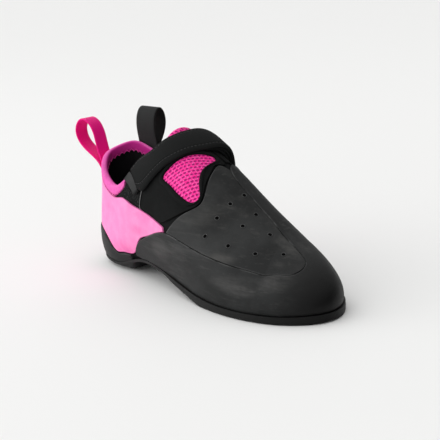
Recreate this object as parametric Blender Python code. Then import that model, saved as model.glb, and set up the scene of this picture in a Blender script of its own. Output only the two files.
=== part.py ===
"""Right climbing shoe, women's size 38: sole, hollow upper, rubber, panels, strap and pull loops.

Metres, +Z up. The toe points to +X and the medial side (big toe) to +Y. The floor is z = 0 and x = 0
is the middle of the heel's contact with it. A point of the upper is named by s, v and side: s runs from the back
of the heel (0) to the tip of the toe (1), v from the sole's edge (0) to the top line (1), and side is
-1 for the lateral wall and +1 for the medial wall. The top line is the collar's rim as far as
RIDGE_START, and in front of it both walls meet there on the ridge of the instep and toe.
"""
import bmesh
import bpy
import numpy as np

# Driving sizes
LENGTH = 0.2380
BALL_WIDTH = 0.0760
INSTEP_HEIGHT = 0.1000
HEEL_HEIGHT = 0.0760
ARCH_HEIGHT = 0.0200
SOLE_THICKNESS = 0.0050
ARCH_SOLE_THICKNESS = 0.0022
INSOLE_THICKNESS = 0.0016
UPPER_WALL = 0.0018
RUBBER_THICKNESS = 0.0018
PANEL_THICKNESS = 0.0011
BINDING_THICKNESS = 0.0008
BINDING_DEPTH = 0.0044
BINDING_GAP = 0.0008
STRAP_THICKNESS = 0.0022
STRAP_LIFT = 0.0042
WEB_THICKNESS = 0.0013
HEEL_WEB_WIDTH = 0.0100
SIDE_WEB_WIDTH = 0.0180
HEEL_LOOP_REACH = 0.0310
SIDE_LOOP_HEIGHT = 0.0270
SIDE_LOOP_STATION = 0.173
SOLE_RIM = 0.0032
HEEL_CONTACT = 0.0300
GAP = 0.0003
FACET_GAP = 0.0005

# Stations where the rims join on the ridge, where the walls start to fan round the toe, and where the
# ridge ends in one point that the walls of the toe share
RIDGE_START = 0.44
TOE_FAN_START = 0.72
TOE_POLE = 0.86

# The flat chart of the upper: its stretch along s, and how much of it one metre of wall takes up
CHART_STRETCH = 4.1
CHART_UNIT = 18.0
SEAM = 1.0e-6

# The sole's edge: x in LENGTH, half widths in BALL_WIDTH, lift off the sole in ARCH_HEIGHT
FOOT_COLUMNS = ("s", "x", "lateral", "medial", "lateral_lift", "medial_lift")
FOOT_ROWS = (
    (0.00, 0.034, 0.000, 0.000, 0.16, 0.16),
    (0.06, 0.046, -0.132, 0.118, 0.10, 0.10),
    (0.14, 0.101, -0.224, 0.211, 0.02, 0.02),
    (0.24, 0.185, -0.263, 0.237, 0.06, 0.12),
    (0.34, 0.303, -0.316, 0.237, 0.47, 0.72),
    (0.44, 0.420, -0.368, 0.263, 0.45, 0.86),
    (0.54, 0.529, -0.414, 0.342, 0.25, 0.45),
    (0.65, 0.634, -0.461, 0.414, 0.07, 0.14),
    (0.76, 0.744, -0.474, 0.434, 0.01, 0.01),
    (0.86, 0.849, -0.414, 0.388, 0.01, 0.01),
    (0.94, 0.933, -0.263, 0.230, 0.03, 0.03),
    (1.00, 0.975, -0.026, -0.026, 0.05, 0.05),
)

# The top line: x in LENGTH, y in BALL_WIDTH, heights as shares of HEEL_HEIGHT and INSTEP_HEIGHT
TOP_COLUMNS = ("s", "x", "lateral", "medial", "lateral_heel", "medial_heel", "instep")
TOP_ROWS = (
    (0.00, 0.029, 0.000, 0.000, 1.000, 1.000, 0.000),
    (0.06, 0.043, -0.095, 0.132, 0.960, 1.045, 0.000),
    (0.14, 0.083, -0.200, 0.224, 0.865, 1.060, 0.000),
    (0.24, 0.166, -0.280, 0.263, 0.775, 0.975, 0.000),
    (0.34, 0.252, -0.276, 0.250, 0.520, 0.610, 0.295),
    (0.44, 0.336, 0.013, 0.013, 0.000, 0.000, 0.930),
    (0.54, 0.445, 0.079, 0.079, 0.000, 0.000, 0.918),
    (0.65, 0.546, 0.145, 0.145, 0.000, 0.000, 0.778),
    (0.76, 0.647, 0.190, 0.190, 0.000, 0.000, 0.593),
    (0.86, 0.740, 0.204, 0.204, 0.000, 0.000, 0.449),
)

# The wall's curve: bulge near the foot and reach at the top in BALL_WIDTH, heights in the wall's height
WALL_COLUMNS = (
    "s", "lateral_bulge", "medial_bulge", "bulge_height", "lateral_reach", "medial_reach", "top_drop",
)
WALL_ROWS = (
    (0.00, 0.053, 0.053, 0.25, 0.00, 0.00, 0.35),
    (0.06, 0.074, 0.092, 0.20, 0.00, 0.00, 0.35),
    (0.14, 0.087, 0.105, 0.20, 0.00, 0.00, 0.35),
    (0.24, 0.105, 0.105, 0.20, 0.00, 0.00, 0.35),
    (0.34, 0.105, 0.079, 0.30, 0.08, 0.08, 0.20),
    (0.44, 0.105, 0.066, 0.35, 0.29, 0.31, 0.00),
    (0.54, 0.105, 0.039, 0.40, 0.28, 0.25, 0.00),
    (0.65, 0.105, 0.026, 0.40, 0.26, 0.12, 0.00),
    (0.76, 0.105, 0.026, 0.40, 0.25, 0.09, 0.00),
    (0.86, 0.092, 0.039, 0.40, 0.25, 0.11, 0.00),
    (0.94, 0.092, 0.066, 0.40, 0.27, 0.18, 0.00),
    (1.00, 0.092, 0.092, 0.40, 0.28, 0.28, 0.00),
)

# The sole's underside at its edges, in ARCH_HEIGHT: what is below zero lies flat on the floor
UNDER_COLUMNS = ("s", "lateral", "medial")
UNDER_ROWS = (
    (0.44, 0.560, 0.900),
    (0.54, 0.270, 0.440),
    (0.62, 0.060, 0.120),
    (0.68, -0.060, -0.040),
    (0.80, -0.120, -0.120),
    (0.92, -0.060, -0.060),
    (1.00, 0.060, 0.060),
)

# Rubber round the forefoot: its upper edge as s and w (w is side times 1 - v), and the station of the
# foot below it, counted on round the toe from the lateral side (below 1) to the medial (above 1)
RAND_COLUMNS = ("edge_s", "edge_w", "foot")
RAND_ROWS = (
    (0.330, -0.940, 0.360),
    (0.336, -0.870, 0.372),
    (0.362, -0.800, 0.395),
    (0.413, -0.770, 0.435),
    (0.490, -0.735, 0.495),
    (0.580, -0.720, 0.585),
    (0.682, -0.690, 0.682),
    (0.768, -0.648, 0.765),
    (0.826, -0.608, 0.820),
    (0.878, -0.571, 0.880),
    (0.922, -0.563, 0.935),
    (0.951, -0.528, 0.965),
    (0.970, -0.462, 0.990),
    (0.969, -0.375, 1.015),
    (0.940, -0.262, 1.050),
    (0.890, -0.178, 1.100),
    (0.838, -0.118, 1.155),
    (0.780, -0.092, 1.215),
    (0.728, -0.085, 1.270),
    (0.685, -0.075, 1.325),
    (0.652, -0.020, 1.380),
    (0.640, 0.100, 1.420),
    (0.625, 0.300, 1.460),
    (0.585, 0.520, 1.500),
    (0.515, 0.680, 1.540),
    (0.430, 0.770, 1.580),
    (0.375, 0.810, 1.610),
    (0.345, 0.920, 1.640),
)

# The toe patch lies inside the rand's edge: the rand's rows at its two rear corners and its front, and
# the patch's own rear edge from the lateral corner to the medial one
PATCH_LATERAL_ROW = 4.15
PATCH_FRONT_ROW = 12.5
PATCH_MEDIAL_ROW = 19.7
PATCH_REAR_COLUMNS = ("s", "w")
PATCH_REAR = (
    (0.505, -0.722),
    (0.568, -0.585),
    (0.628, -0.470),
    (0.643, -0.385),
    (0.638, -0.290),
    (0.635, -0.170),
    (0.640, -0.105),
    (0.668, -0.075),
)

# The side panel round the mesh window: its outer outline and the window's outline beside it
QUARTER_COLUMNS = ("outer_s", "outer_w", "window_s", "window_w")
QUARTER_ROWS = (
    (0.400, -0.570, 0.485, -0.430),
    (0.443, -0.650, 0.512, -0.452),
    (0.486, -0.682, 0.540, -0.470),
    (0.560, -0.580, 0.575, -0.476),
    (0.616, -0.475, 0.604, -0.460),
    (0.633, -0.395, 0.622, -0.405),
    (0.628, -0.300, 0.612, -0.350),
    (0.625, -0.180, 0.600, -0.270),
    (0.624, -0.090, 0.603, -0.180),
    (0.632, -0.012, 0.611, -0.080),
    (0.560, -0.012, 0.595, -0.052),
    (0.500, -0.080, 0.560, -0.140),
    (0.455, -0.200, 0.530, -0.240),
    (0.418, -0.400, 0.498, -0.360),
)
QUARTER_MEDIAL_COLUMNS = ("low_s", "low_w", "high_s", "high_w")
QUARTER_MEDIAL_ROWS = (
    (0.410, 0.560, 0.462, 0.030),
    (0.443, 0.630, 0.500, 0.010),
    (0.484, 0.670, 0.540, 0.010),
    (0.525, 0.630, 0.580, 0.010),
    (0.568, 0.530, 0.610, 0.010),
    (0.613, 0.310, 0.630, 0.020),
)

# The heel: edges of its rubber cup and of its pink panel in v, along t (t is side times s)
HEEL_COLUMNS = ("t", "rubber_top", "panel_bottom", "panel_top")
HEEL_ROWS = (
    (-0.486, 0.020, 0.285, 0.292),
    (-0.443, 0.020, 0.262, 0.335),
    (-0.400, 0.020, 0.248, 0.420),
    (-0.352, 0.020, 0.205, 0.600),
    (-0.328, 0.030, 0.110, 0.735),
    (-0.273, 0.150, 0.168, 0.870),
    (-0.240, 0.185, 0.203, 0.893),
    (-0.200, 0.300, 0.318, 0.905),
    (-0.158, 0.370, 0.388, 0.908),
    (-0.100, 0.385, 0.403, 0.915),
    (0.000, 0.390, 0.408, 0.918),
    (0.100, 0.385, 0.403, 0.915),
    (0.158, 0.370, 0.388, 0.910),
    (0.200, 0.300, 0.318, 0.905),
    (0.240, 0.185, 0.203, 0.897),
    (0.273, 0.150, 0.168, 0.875),
    (0.330, 0.030, 0.110, 0.735),
    (0.352, 0.020, 0.205, 0.600),
    (0.400, 0.020, 0.255, 0.420),
    (0.443, 0.020, 0.275, 0.345),
    (0.480, 0.020, 0.300, 0.315),
)
HEEL_CUP_END = 0.300
BINDING_LATERAL_END = -0.328
BINDING_MEDIAL_END = 0.415
BINDING_SHARE = 0.112

# The stretch fabric between heel panel, binding and side panel
GORE_COLUMNS = ("low_s", "low_w", "high_s", "high_w")
GORE_ROWS = (
    (0.298, -0.160, 0.298, -0.130),
    (0.315, -0.200, 0.316, -0.132),
    (0.335, -0.300, 0.336, -0.112),
    (0.358, -0.400, 0.354, -0.034),
    (0.388, -0.525, 0.400, -0.030),
    (0.395, -0.530, 0.430, -0.030),
)

# The strap: its rear and front edges from the lateral end over the instep to the medial side
STRAP_COLUMNS = ("rear_s", "rear_w", "front_s", "front_w", "lift")
STRAP_ROWS = (
    (0.356, -0.030, 0.404, -0.440, 0.00),
    (0.378, -0.050, 0.420, -0.475, 0.00),
    (0.405, -0.140, 0.443, -0.455, 0.00),
    (0.432, -0.190, 0.475, -0.395, 0.00),
    (0.455, -0.150, 0.517, -0.285, 0.03),
    (0.475, -0.080, 0.547, -0.175, 0.06),
    (0.487, 0.020, 0.576, -0.055, 0.28),
    (0.494, 0.130, 0.588, 0.060, 0.80),
    (0.496, 0.260, 0.580, 0.185, 1.00),
    (0.493, 0.390, 0.559, 0.325, 0.70),
    (0.486, 0.510, 0.536, 0.460, 0.25),
    (0.476, 0.600, 0.520, 0.560, 0.00),
)
TAB_ROWS = (
    (0.334, -0.030, 0.388, -0.440, 0.0),
    (0.353, -0.030, 0.402, -0.440, 0.0),
)

# Heel loop in the plane of its side view: x and z in HEEL_LOOP_REACH from the rim's back
HEEL_LOOP_COLUMNS = ("x", "z")
HEEL_LOOP_ROWS = (
    (-0.09, -0.40), (-0.24, -0.24), (-0.49, -0.11), (-0.80, 0.04), (-1.01, 0.22), (-1.06, 0.43),
    (-0.94, 0.62), (-0.73, 0.70), (-0.50, 0.63), (-0.34, 0.45), (-0.26, 0.23), (-0.19, 0.01),
    (-0.10, -0.18), (-0.025, -0.34), (-0.004, -0.50),
)

# Side loop seen along its webbing: outward from the wall and up, in SIDE_LOOP_HEIGHT
SIDE_LOOP_COLUMNS = ("out", "up")
SIDE_LOOP_ROWS = (
    (0.00, -0.30), (0.01, -0.10), (-0.01, 0.15), (-0.05, 0.45), (-0.03, 0.75), (0.06, 0.94), (0.17, 1.00),
    (0.28, 0.94), (0.36, 0.74), (0.34, 0.48), (0.23, 0.24), (0.11, 0.05), (0.065, -0.12), (0.060, -0.30),
)


def column(rows, names, name):
    """Returns one named column of a table as an array."""
    return np.array([row[names.index(name)] for row in rows], float)


def spline(knots, values, start=None, end=None):
    """Returns a smooth cubic curve through the values, with natural ends or the end slopes given."""
    knots, values = np.asarray(knots, float), np.asarray(values, float)
    count, step = len(knots), np.diff(knots)
    slope = np.diff(values) / step
    matrix, right = np.zeros((count, count)), np.zeros(count)
    for i in range(1, count - 1):
        matrix[i, i - 1:i + 2] = step[i], 2.0 * (step[i - 1] + step[i]), step[i - 1]
        right[i] = 3.0 * (step[i] * slope[i - 1] + step[i - 1] * slope[i])
    matrix[0, 0], right[0] = (1.0, start) if start is not None else (2.0, 3.0 * slope[0])
    matrix[0, 1] = 0.0 if start is not None else 1.0
    matrix[-1, -1], right[-1] = (1.0, end) if end is not None else (2.0, 3.0 * slope[-1])
    matrix[-1, -2] = 0.0 if end is not None else 1.0
    tangent = np.linalg.solve(matrix, right)

    def at(place):
        place = np.clip(np.asarray(place, float), knots[0], knots[-1])
        i = np.clip(np.searchsorted(knots, place, side="right") - 1, 0, count - 2)
        u = (place - knots[i]) / step[i]
        return ((2 * u**3 - 3 * u**2 + 1) * values[i] + (u**3 - 2 * u**2 + u) * step[i] * tangent[i]
                + (3 * u**2 - 2 * u**3) * values[i + 1] + (u**3 - u**2) * step[i] * tangent[i + 1])
    return at


def along(rows, names, count, closed=False, straight=()):
    """Returns the table's columns as smooth curves read at count even steps from row to row."""
    table = np.array(rows, float)
    if closed:
        table = np.vstack([table[-3:], table, table[:3]])
    knots = np.arange(len(table), dtype=float) - (3.0 if closed else 0.0)
    last = len(rows) if closed else len(rows) - 1
    place = np.linspace(0.0, last, count)
    curves = {}
    for i, name in enumerate(names):
        if name in straight:
            curves[name] = np.interp(place, knots, table[:, i])
        else:
            curves[name] = spline(knots, table[:, i])(place)
    return curves


STATIONS = column(FOOT_ROWS, FOOT_COLUMNS, "s")
FOOT = {name: spline(STATIONS, column(FOOT_ROWS, FOOT_COLUMNS, name)) for name in FOOT_COLUMNS}
for level in ("x", "lateral_lift", "medial_lift"):
    FOOT[level] = spline(STATIONS, column(FOOT_ROWS, FOOT_COLUMNS, level), 0.0, 0.0)
TOP_STATIONS = column(TOP_ROWS, TOP_COLUMNS, "s")
TOP = {name: spline(TOP_STATIONS, column(TOP_ROWS, TOP_COLUMNS, name)) for name in TOP_COLUMNS}
TOP["x"] = spline(TOP_STATIONS, column(TOP_ROWS, TOP_COLUMNS, "x"), 0.0, None)
WALL = {name: spline(STATIONS, column(WALL_ROWS, WALL_COLUMNS, name)) for name in WALL_COLUMNS}
UNDER_STATIONS = column(UNDER_ROWS, UNDER_COLUMNS, "s")
UNDER = {name: spline(UNDER_STATIONS, column(UNDER_ROWS, UNDER_COLUMNS, name)) for name in UNDER_COLUMNS}


def wall_name(side):
    """Returns the word that the tables' columns use for a side."""
    return "lateral" if side < 0 else "medial"


def unit(vectors):
    """Returns the vectors at unit length."""
    return vectors / np.maximum(np.linalg.norm(vectors, axis=-1, keepdims=True), 1.0e-12)


def foot_edge(s, side):
    """Returns the sole's edge, where the upper's outer face ends, at stations s."""
    name = wall_name(side)
    z = SOLE_THICKNESS + FOOT[name + "_lift"](s) * ARCH_HEIGHT
    return np.stack([FOOT["x"](s) * LENGTH - HEEL_CONTACT, FOOT[name](s) * BALL_WIDTH, z], -1)


def top_line(s, side):
    """Returns the collar's rim, or the ridge in front of it, at stations s."""
    s = np.minimum(s, TOE_POLE)
    name, rim = wall_name(side), s < RIDGE_START
    y = np.where(rim, TOP[name](s), TOP["lateral"](s))
    heel = np.where(rim, TOP[name + "_heel"](s), TOP["lateral_heel"](s))
    z = heel * HEEL_HEIGHT + TOP["instep"](s) * INSTEP_HEIGHT
    return np.stack([TOP["x"](s) * LENGTH - HEEL_CONTACT, y * BALL_WIDTH, z], -1)


def ridge_run(s):
    """Returns the direction in which the top line runs, as at its end once the ridge has ended."""
    step = 1.0e-3
    s = np.clip(s, step, TOE_POLE - step)
    return unit(top_line(s + step, -1) - top_line(s - step, -1))


def outward(s, side):
    """Returns the level direction that points out of the sole's outline."""
    step = 1.0e-3
    run = foot_edge(np.clip(s + step, 0, 1), side) - foot_edge(np.clip(s - step, 0, 1), side)
    out = np.stack([-side * run[..., 1], side * run[..., 0], np.zeros_like(run[..., 0])], -1)
    out[..., 1] = np.where((s <= 0.0) | (s >= 1.0), 0.0, out[..., 1])
    return unit(out)


def last_point(s, v, side):
    """Returns the upper's outer face at s, v and side."""
    s, v = np.broadcast_arrays(np.asarray(s, float), np.asarray(v, float))
    name = wall_name(side)
    foot, top, out, ridge = foot_edge(s, side), top_line(s, side), outward(s, side), ridge_run(s)
    height = top[..., 2] - foot[..., 2]
    turn = np.clip((s - TOE_FAN_START) / (1.0 - TOE_FAN_START), 0, 1)
    turn = (turn * turn * (3.0 - 2.0 * turn) * np.pi / 2.0)[..., None]
    across = np.array([0.0, float(side), 0.0])
    on_ridge = np.clip((s - 0.34) / (RIDGE_START - 0.34), 0, 1)[..., None]
    reach = (np.cos(turn) * across + np.sin(turn) * ridge) * on_ridge + out * (1.0 - on_ridge)
    low = foot + out * (WALL[name + "_bulge"](s) * BALL_WIDTH)[..., None]
    low[..., 2] += WALL["bulge_height"](s) * height
    high = top + reach * (WALL[name + "_reach"](s) * BALL_WIDTH)[..., None]
    high[..., 2] -= WALL["top_drop"](s) * height
    v = v[..., None]
    return foot * (1 - v)**3 + 3 * low * v * (1 - v)**2 + 3 * high * v * v * (1 - v) + top * v**3


def wall_normal(s, v, side):
    """Returns the outward normal of one wall."""
    step = 2.0e-3
    along_s = last_point(np.clip(s + step, 0, 1), v, side) - last_point(np.clip(s - step, 0, 1), v, side)
    along_v = last_point(s, np.clip(v + step, 0, 1), side) - last_point(s, np.clip(v - step, 0, 1), side)
    face = unit(np.cross(along_s, along_v) * -side)
    crown = unit(np.cross(ridge_run(s), np.array([0.0, 1.0, 0.0])))
    at_pole = (s >= TOE_POLE - step) & (v >= 1.0 - step)
    return np.where(at_pole[..., None], crown, face)


def last_normal(s, v, side):
    """Returns the outward normal, evened out where both walls meet."""
    s, v = np.broadcast_arrays(np.asarray(s, float), np.asarray(v, float))
    own, other = wall_normal(s, v, side), wall_normal(s, v, -side)
    meet = (s <= 0.0) | (s >= 1.0) | ((v >= 1.0 - 2 * SEAM) & (s >= RIDGE_START))
    return np.where(meet[..., None], unit(own + other), own)


def on_last(s, w, offset=0.0):
    """Returns points at s and w, raised off the upper's outer face by offset."""
    s, w = np.broadcast_arrays(np.clip(s, 0, 1), np.clip(w, -1, 1))
    offset = np.broadcast_to(offset, s.shape)[..., None]
    points = np.empty(s.shape + (3,))
    lateral = (w < 0) & (s > 0) & (s < 1)
    for side, own in ((-1, lateral), (1, ~lateral)):
        v = 1.0 - np.abs(w[own])
        points[own] = last_point(s[own], v, side) + last_normal(s[own], v, side) * offset[own]
        points[own, 2] = np.maximum(points[own, 2], foot_edge(s[own], side)[:, 2])
    return points


def to_chart(s, w):
    """Returns flat places for s and w: a strip behind the ridge's end and a half disc round the toe."""
    s, w = np.broadcast_arrays(np.asarray(s, float), np.asarray(w, float))
    turn = np.sign(w) * np.clip((1.0 - s) / (1.0 - TOE_POLE), 0, 1) * np.pi / 2.0
    strip = s < TOE_POLE
    ahead = np.where(strip, (s - TOE_POLE) * CHART_STRETCH, np.abs(w) * np.cos(turn))
    return np.stack([ahead, np.where(strip, w, np.abs(w) * np.sin(turn))], -1)


def from_chart(places):
    """Returns s and w for flat places."""
    ahead, side = places[..., 0], places[..., 1]
    strip = ahead < 0
    reach = np.hypot(ahead, side)
    turn = np.abs(np.arctan2(side, np.maximum(ahead, 0.0)))
    s = np.where(strip, TOE_POLE + ahead / CHART_STRETCH, 1.0 - turn / (np.pi / 2.0) * (1.0 - TOE_POLE))
    return s, np.where(strip, side, np.where(side < 0, -reach, reach))


def chart_curve(rows, s_name, w_name, names, count, first=0.0, last=None, inset=0.0):
    """Returns flat places along a smooth curve through a table's rows, moved aside by inset."""
    places = to_chart(column(rows, names, s_name), column(rows, names, w_name))
    knots = np.arange(len(rows), dtype=float)
    at = np.linspace(first, knots[-1] if last is None else last, count)
    curves = [spline(knots, places[:, i]) for i in (0, 1)]
    line = np.stack([curve(at) for curve in curves], -1)
    run = unit(np.stack([curve(at + 0.01) - curve(at - 0.01) for curve in curves], -1))
    return line + np.stack([-run[:, 1], run[:, 0]], -1) * inset * CHART_UNIT


def material(name, colour, roughness, metallic=0.0):
    """Returns a plain Principled material."""
    shader = bpy.data.materials.new(name)
    shader.use_nodes = True
    values = shader.node_tree.nodes["Principled BSDF"].inputs
    values["Base Color"].default_value = (*colour, 1.0)
    values["Roughness"].default_value = roughness
    values["Metallic"].default_value = metallic
    shader.diffuse_color = (*colour, 1.0)
    return shader


def add_object(name, mesh_data, shader):
    """Links a finished mesh to the scene as one smooth object."""
    mesh = bpy.data.meshes.new(name)
    mesh_data.to_mesh(mesh)
    mesh_data.free()
    mesh.materials.append(shader)
    mesh.shade_smooth()
    mesh.set_sharp_from_angle(angle=np.radians(40.0))
    thing = bpy.data.objects.new(name, mesh)
    bpy.context.collection.objects.link(thing)
    return thing


def sheet(name, front, back, shader):
    """Makes one closed solid between two matching grids of points, welding where a grid meets itself."""
    rows, columns = front.shape[:2]
    keys, index = {}, np.empty((rows, columns), int)
    data = bmesh.new()
    faces_front, faces_back = [], []
    for i in range(rows):
        for j in range(columns):
            key = tuple(np.round(front[i, j], 6))
            if key not in keys:
                keys[key] = len(faces_front)
                faces_front.append(data.verts.new(front[i, j]))
                faces_back.append(data.verts.new(back[i, j]))
            index[i, j] = keys[key]
    edges = {}
    for i in range(rows - 1):
        for j in range(columns - 1):
            loop = [index[i, j], index[i + 1, j], index[i + 1, j + 1], index[i, j + 1]]
            loop = [corner for k, corner in enumerate(loop) if corner != loop[k - 1]]
            if len(set(loop)) < 3:
                continue
            data.faces.new([faces_front[k] for k in loop])
            data.faces.new([faces_back[k] for k in reversed(loop)])
            for k, corner in enumerate(loop):
                pair = (loop[k - 1], corner)
                edges[frozenset(pair)] = None if frozenset(pair) in edges else pair
    for pair in filter(None, edges.values()):
        a, b = pair
        data.faces.new([faces_front[b], faces_front[a], faces_back[a], faces_back[b]])
    bmesh.ops.recalc_face_normals(data, faces=data.faces)
    bmesh.ops.triangulate(data, faces=data.faces)
    return add_object(name, data, shader)


def overlay(name, s, w, low, high, shader):
    """Makes a piece that lies on the upper between two heights above its outer face."""
    return sheet(name, on_last(s, w, high), on_last(s, w, low), shader)


def between(first, second, rows):
    """Returns a grid that runs from one line of values to another."""
    share = np.linspace(0.0, 1.0, rows + 1).reshape((1, -1) + (1,) * (first.ndim - 1))
    return first[:, None] * (1.0 - share) + second[:, None] * share


def build_upper(shader):
    """The upper: one hollow wall, open at the collar and underneath."""
    stations = np.concatenate([np.linspace(0.0, RIDGE_START, 18), np.linspace(RIDGE_START, 1.0, 20)[1:]])
    heights = np.linspace(0.0, 1.0, 9)
    lateral_s, lateral_v = np.meshgrid(stations, heights, indexing="ij")
    front = np.vstack([last_point(lateral_s, lateral_v, -1)[::-1], last_point(lateral_s, lateral_v, 1)])
    normal = np.vstack([last_normal(lateral_s, lateral_v, -1)[::-1], last_normal(lateral_s, lateral_v, 1)])
    toe = np.concatenate([stations[::-1], stations])[:, None] * np.ones_like(heights)
    thin = np.where((toe > 0.99) & (heights > 0.5), 0.8, 1.0)[..., None]
    return sheet("upper", front, front - normal * UPPER_WALL * thin, shader)


def sole_edge(s, side, spread):
    """Returns the outline of the sole at its top, spread beyond the upper's outer face."""
    return foot_edge(s, side) + outward(s, side) * spread


def sole_part(name, start, end, steps, under, spread, shader):
    """Makes one length of the sole between its top under the upper and its underside."""
    s = np.linspace(start, end, steps)
    lateral, medial = sole_edge(s, -1, spread), sole_edge(s, 1, spread)
    across = np.linspace(0.0, 1.0, 9)[None, :, None]
    top = lateral[:, None] * (1.0 - across) + medial[:, None] * across
    top[..., 2] -= FACET_GAP
    bottom = under(s, across[0, :, 0], top)
    return sheet(name, top, bottom, shader)


def forefoot_under(s, across, top):
    """Returns the forefoot sole's underside, flat on the floor below the ball."""
    inset = 0.985
    centre = top.mean(axis=1, keepdims=True)
    bottom = centre + (top - centre) * inset
    lateral, medial = UNDER["lateral"](s)[:, None], UNDER["medial"](s)[:, None]
    lift = (lateral * (1.0 - across) + medial * across) * ARCH_HEIGHT
    bottom[..., 2] = np.clip(lift, 0.0, top[..., 2] - ARCH_SOLE_THICKNESS)
    return bottom


def arch_under(s, across, top):
    """Returns the arch sole's underside, a steady thickness below its top."""
    bottom = top.copy()
    bottom[..., 2] -= ARCH_SOLE_THICKNESS
    return bottom


def heel_under(s, across, top):
    """Returns the heel sole's underside, flat in the middle and rounded up to its edges."""
    centre = top.mean(axis=1, keepdims=True)
    side_roll = np.clip((np.abs(2.0 * across - 1.0) - 0.62) / 0.38, 0, 1)[None, :]
    back_roll = np.clip((0.075 - s) / 0.075, 0, 1)[:, None]
    front_roll = np.clip((s - 0.235) / 0.065, 0, 1)[:, None]
    roll = np.maximum(np.maximum(side_roll, back_roll), front_roll) ** 2
    bottom = centre + (top - centre) * 0.97
    bottom[..., 2] = np.maximum(top[..., 2] - ARCH_SOLE_THICKNESS, 0.0) * roll
    return bottom


def build_insole(shader):
    """The insole: a thin board that lies on the soles inside the upper."""
    s = np.linspace(0.012, 0.988, 24)
    inset = UPPER_WALL + 0.0022
    lateral, medial = sole_edge(s, -1, -inset), sole_edge(s, 1, -inset)
    tilt = medial[:, 2] - lateral[:, 2]
    share = inset / (inset * 2.0 + np.linalg.norm(medial - lateral, axis=-1))
    lateral[:, 2] += tilt * share
    medial[:, 2] -= tilt * share
    lateral[:, 2], medial[:, 2] = lateral[:, 2] + GAP, medial[:, 2] + GAP
    across = np.linspace(0.0, 1.0, 4)[None, :, None]
    bottom = lateral[:, None] * (1.0 - across) + medial[:, None] * across
    top = bottom.copy()
    top[..., 2] += INSOLE_THICKNESS
    return sheet("insole", top, bottom, shader)


def build_binding(shader):
    """The collar binding: a folded band over the rim, round the heel."""
    t = np.linspace(BINDING_LATERAL_END, BINDING_MEDIAL_END, 35)
    side = np.where(t < 0, -1, 1)
    rim, normal, down = (np.empty((len(t), 3)) for _ in range(3))
    for wall in (-1, 1):
        own = side == wall
        s = np.abs(t[own])
        rim[own] = last_point(s, np.ones_like(s), wall)
        normal[own] = last_normal(s, np.ones_like(s), wall)
        down[own] = unit(last_point(s, np.full_like(s, 0.94), wall) - rim[own])
    inner, outer = -UPPER_WALL - BINDING_GAP, BINDING_GAP
    depth = BINDING_DEPTH
    middle = 0.5 * (inner + outer)
    fold = ((outer, depth), (outer, 0.3 * depth), (outer, -BINDING_GAP), (middle, -BINDING_GAP), (inner, -BINDING_GAP),
            (inner, 0.3 * depth), (inner, depth))
    thick = BINDING_THICKNESS
    cover = ((outer + thick, depth), (outer + thick, 0.3 * depth), (outer + 0.8 * thick, -0.8 * thick),
             (middle, -BINDING_GAP - thick), (inner - 0.8 * thick, -0.8 * thick), (inner - thick, 0.3 * depth),
             (inner - thick, depth))
    grids = []
    for profile in (cover, fold):
        lines = [rim + normal * across + down * drop for across, drop in profile]
        grids.append(np.stack(lines, axis=1))
    return sheet("collar_binding", grids[0], grids[1], shader)


def build_ribbon(name, path, width, shader):
    """Makes flat webbing along a path of points, with its width along the vector given."""
    run = unit(np.gradient(path, axis=0))
    normal = unit(np.cross(run, width))
    across = np.linspace(-0.5, 0.5, 2)[None, :, None] * width
    middle = path[:, None] + across
    half = normal[:, None] * 0.5 * WEB_THICKNESS
    return sheet(name, middle + half, middle - half, shader)


def build_heel_loop(shader):
    """The heel's pull loop: webbing sewn to the back of the heel, leaning back."""
    rim = top_line(np.array(0.0), -1)
    stand = GAP + PANEL_THICKNESS + GAP + 0.5 * WEB_THICKNESS
    curve = along(HEEL_LOOP_ROWS, HEEL_LOOP_COLUMNS, 43)
    x = rim[0] - stand + curve["x"] * HEEL_LOOP_REACH
    z = rim[2] + curve["z"] * HEEL_LOOP_REACH
    path = np.stack([x, np.zeros_like(x), z], -1)
    return build_ribbon("pull_loop_heel", path, np.array([0.0, HEEL_WEB_WIDTH, 0.0]), shader)


def build_side_loop(shader):
    """The side pull loop: webbing sewn outside the medial collar, standing up."""
    s, v = np.array(SIDE_LOOP_STATION), np.array(1.0)
    rim, normal = last_point(s, v, 1), last_normal(s, v, 1)
    out = unit(normal * np.array([1.0, 1.0, 0.0]))
    stand = BINDING_GAP + BINDING_THICKNESS + 2.0 * GAP + 0.5 * WEB_THICKNESS
    curve = along(SIDE_LOOP_ROWS, SIDE_LOOP_COLUMNS, 40)
    away = (stand + curve["out"] * SIDE_LOOP_HEIGHT)[:, None] * out
    path = rim + away + (curve["up"] * SIDE_LOOP_HEIGHT)[:, None] * np.array([0.0, 0.0, 1.0])
    width = np.array([out[1], -out[0], 0.0]) * SIDE_WEB_WIDTH
    return build_ribbon("pull_loop_side", path, width, shader)


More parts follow.
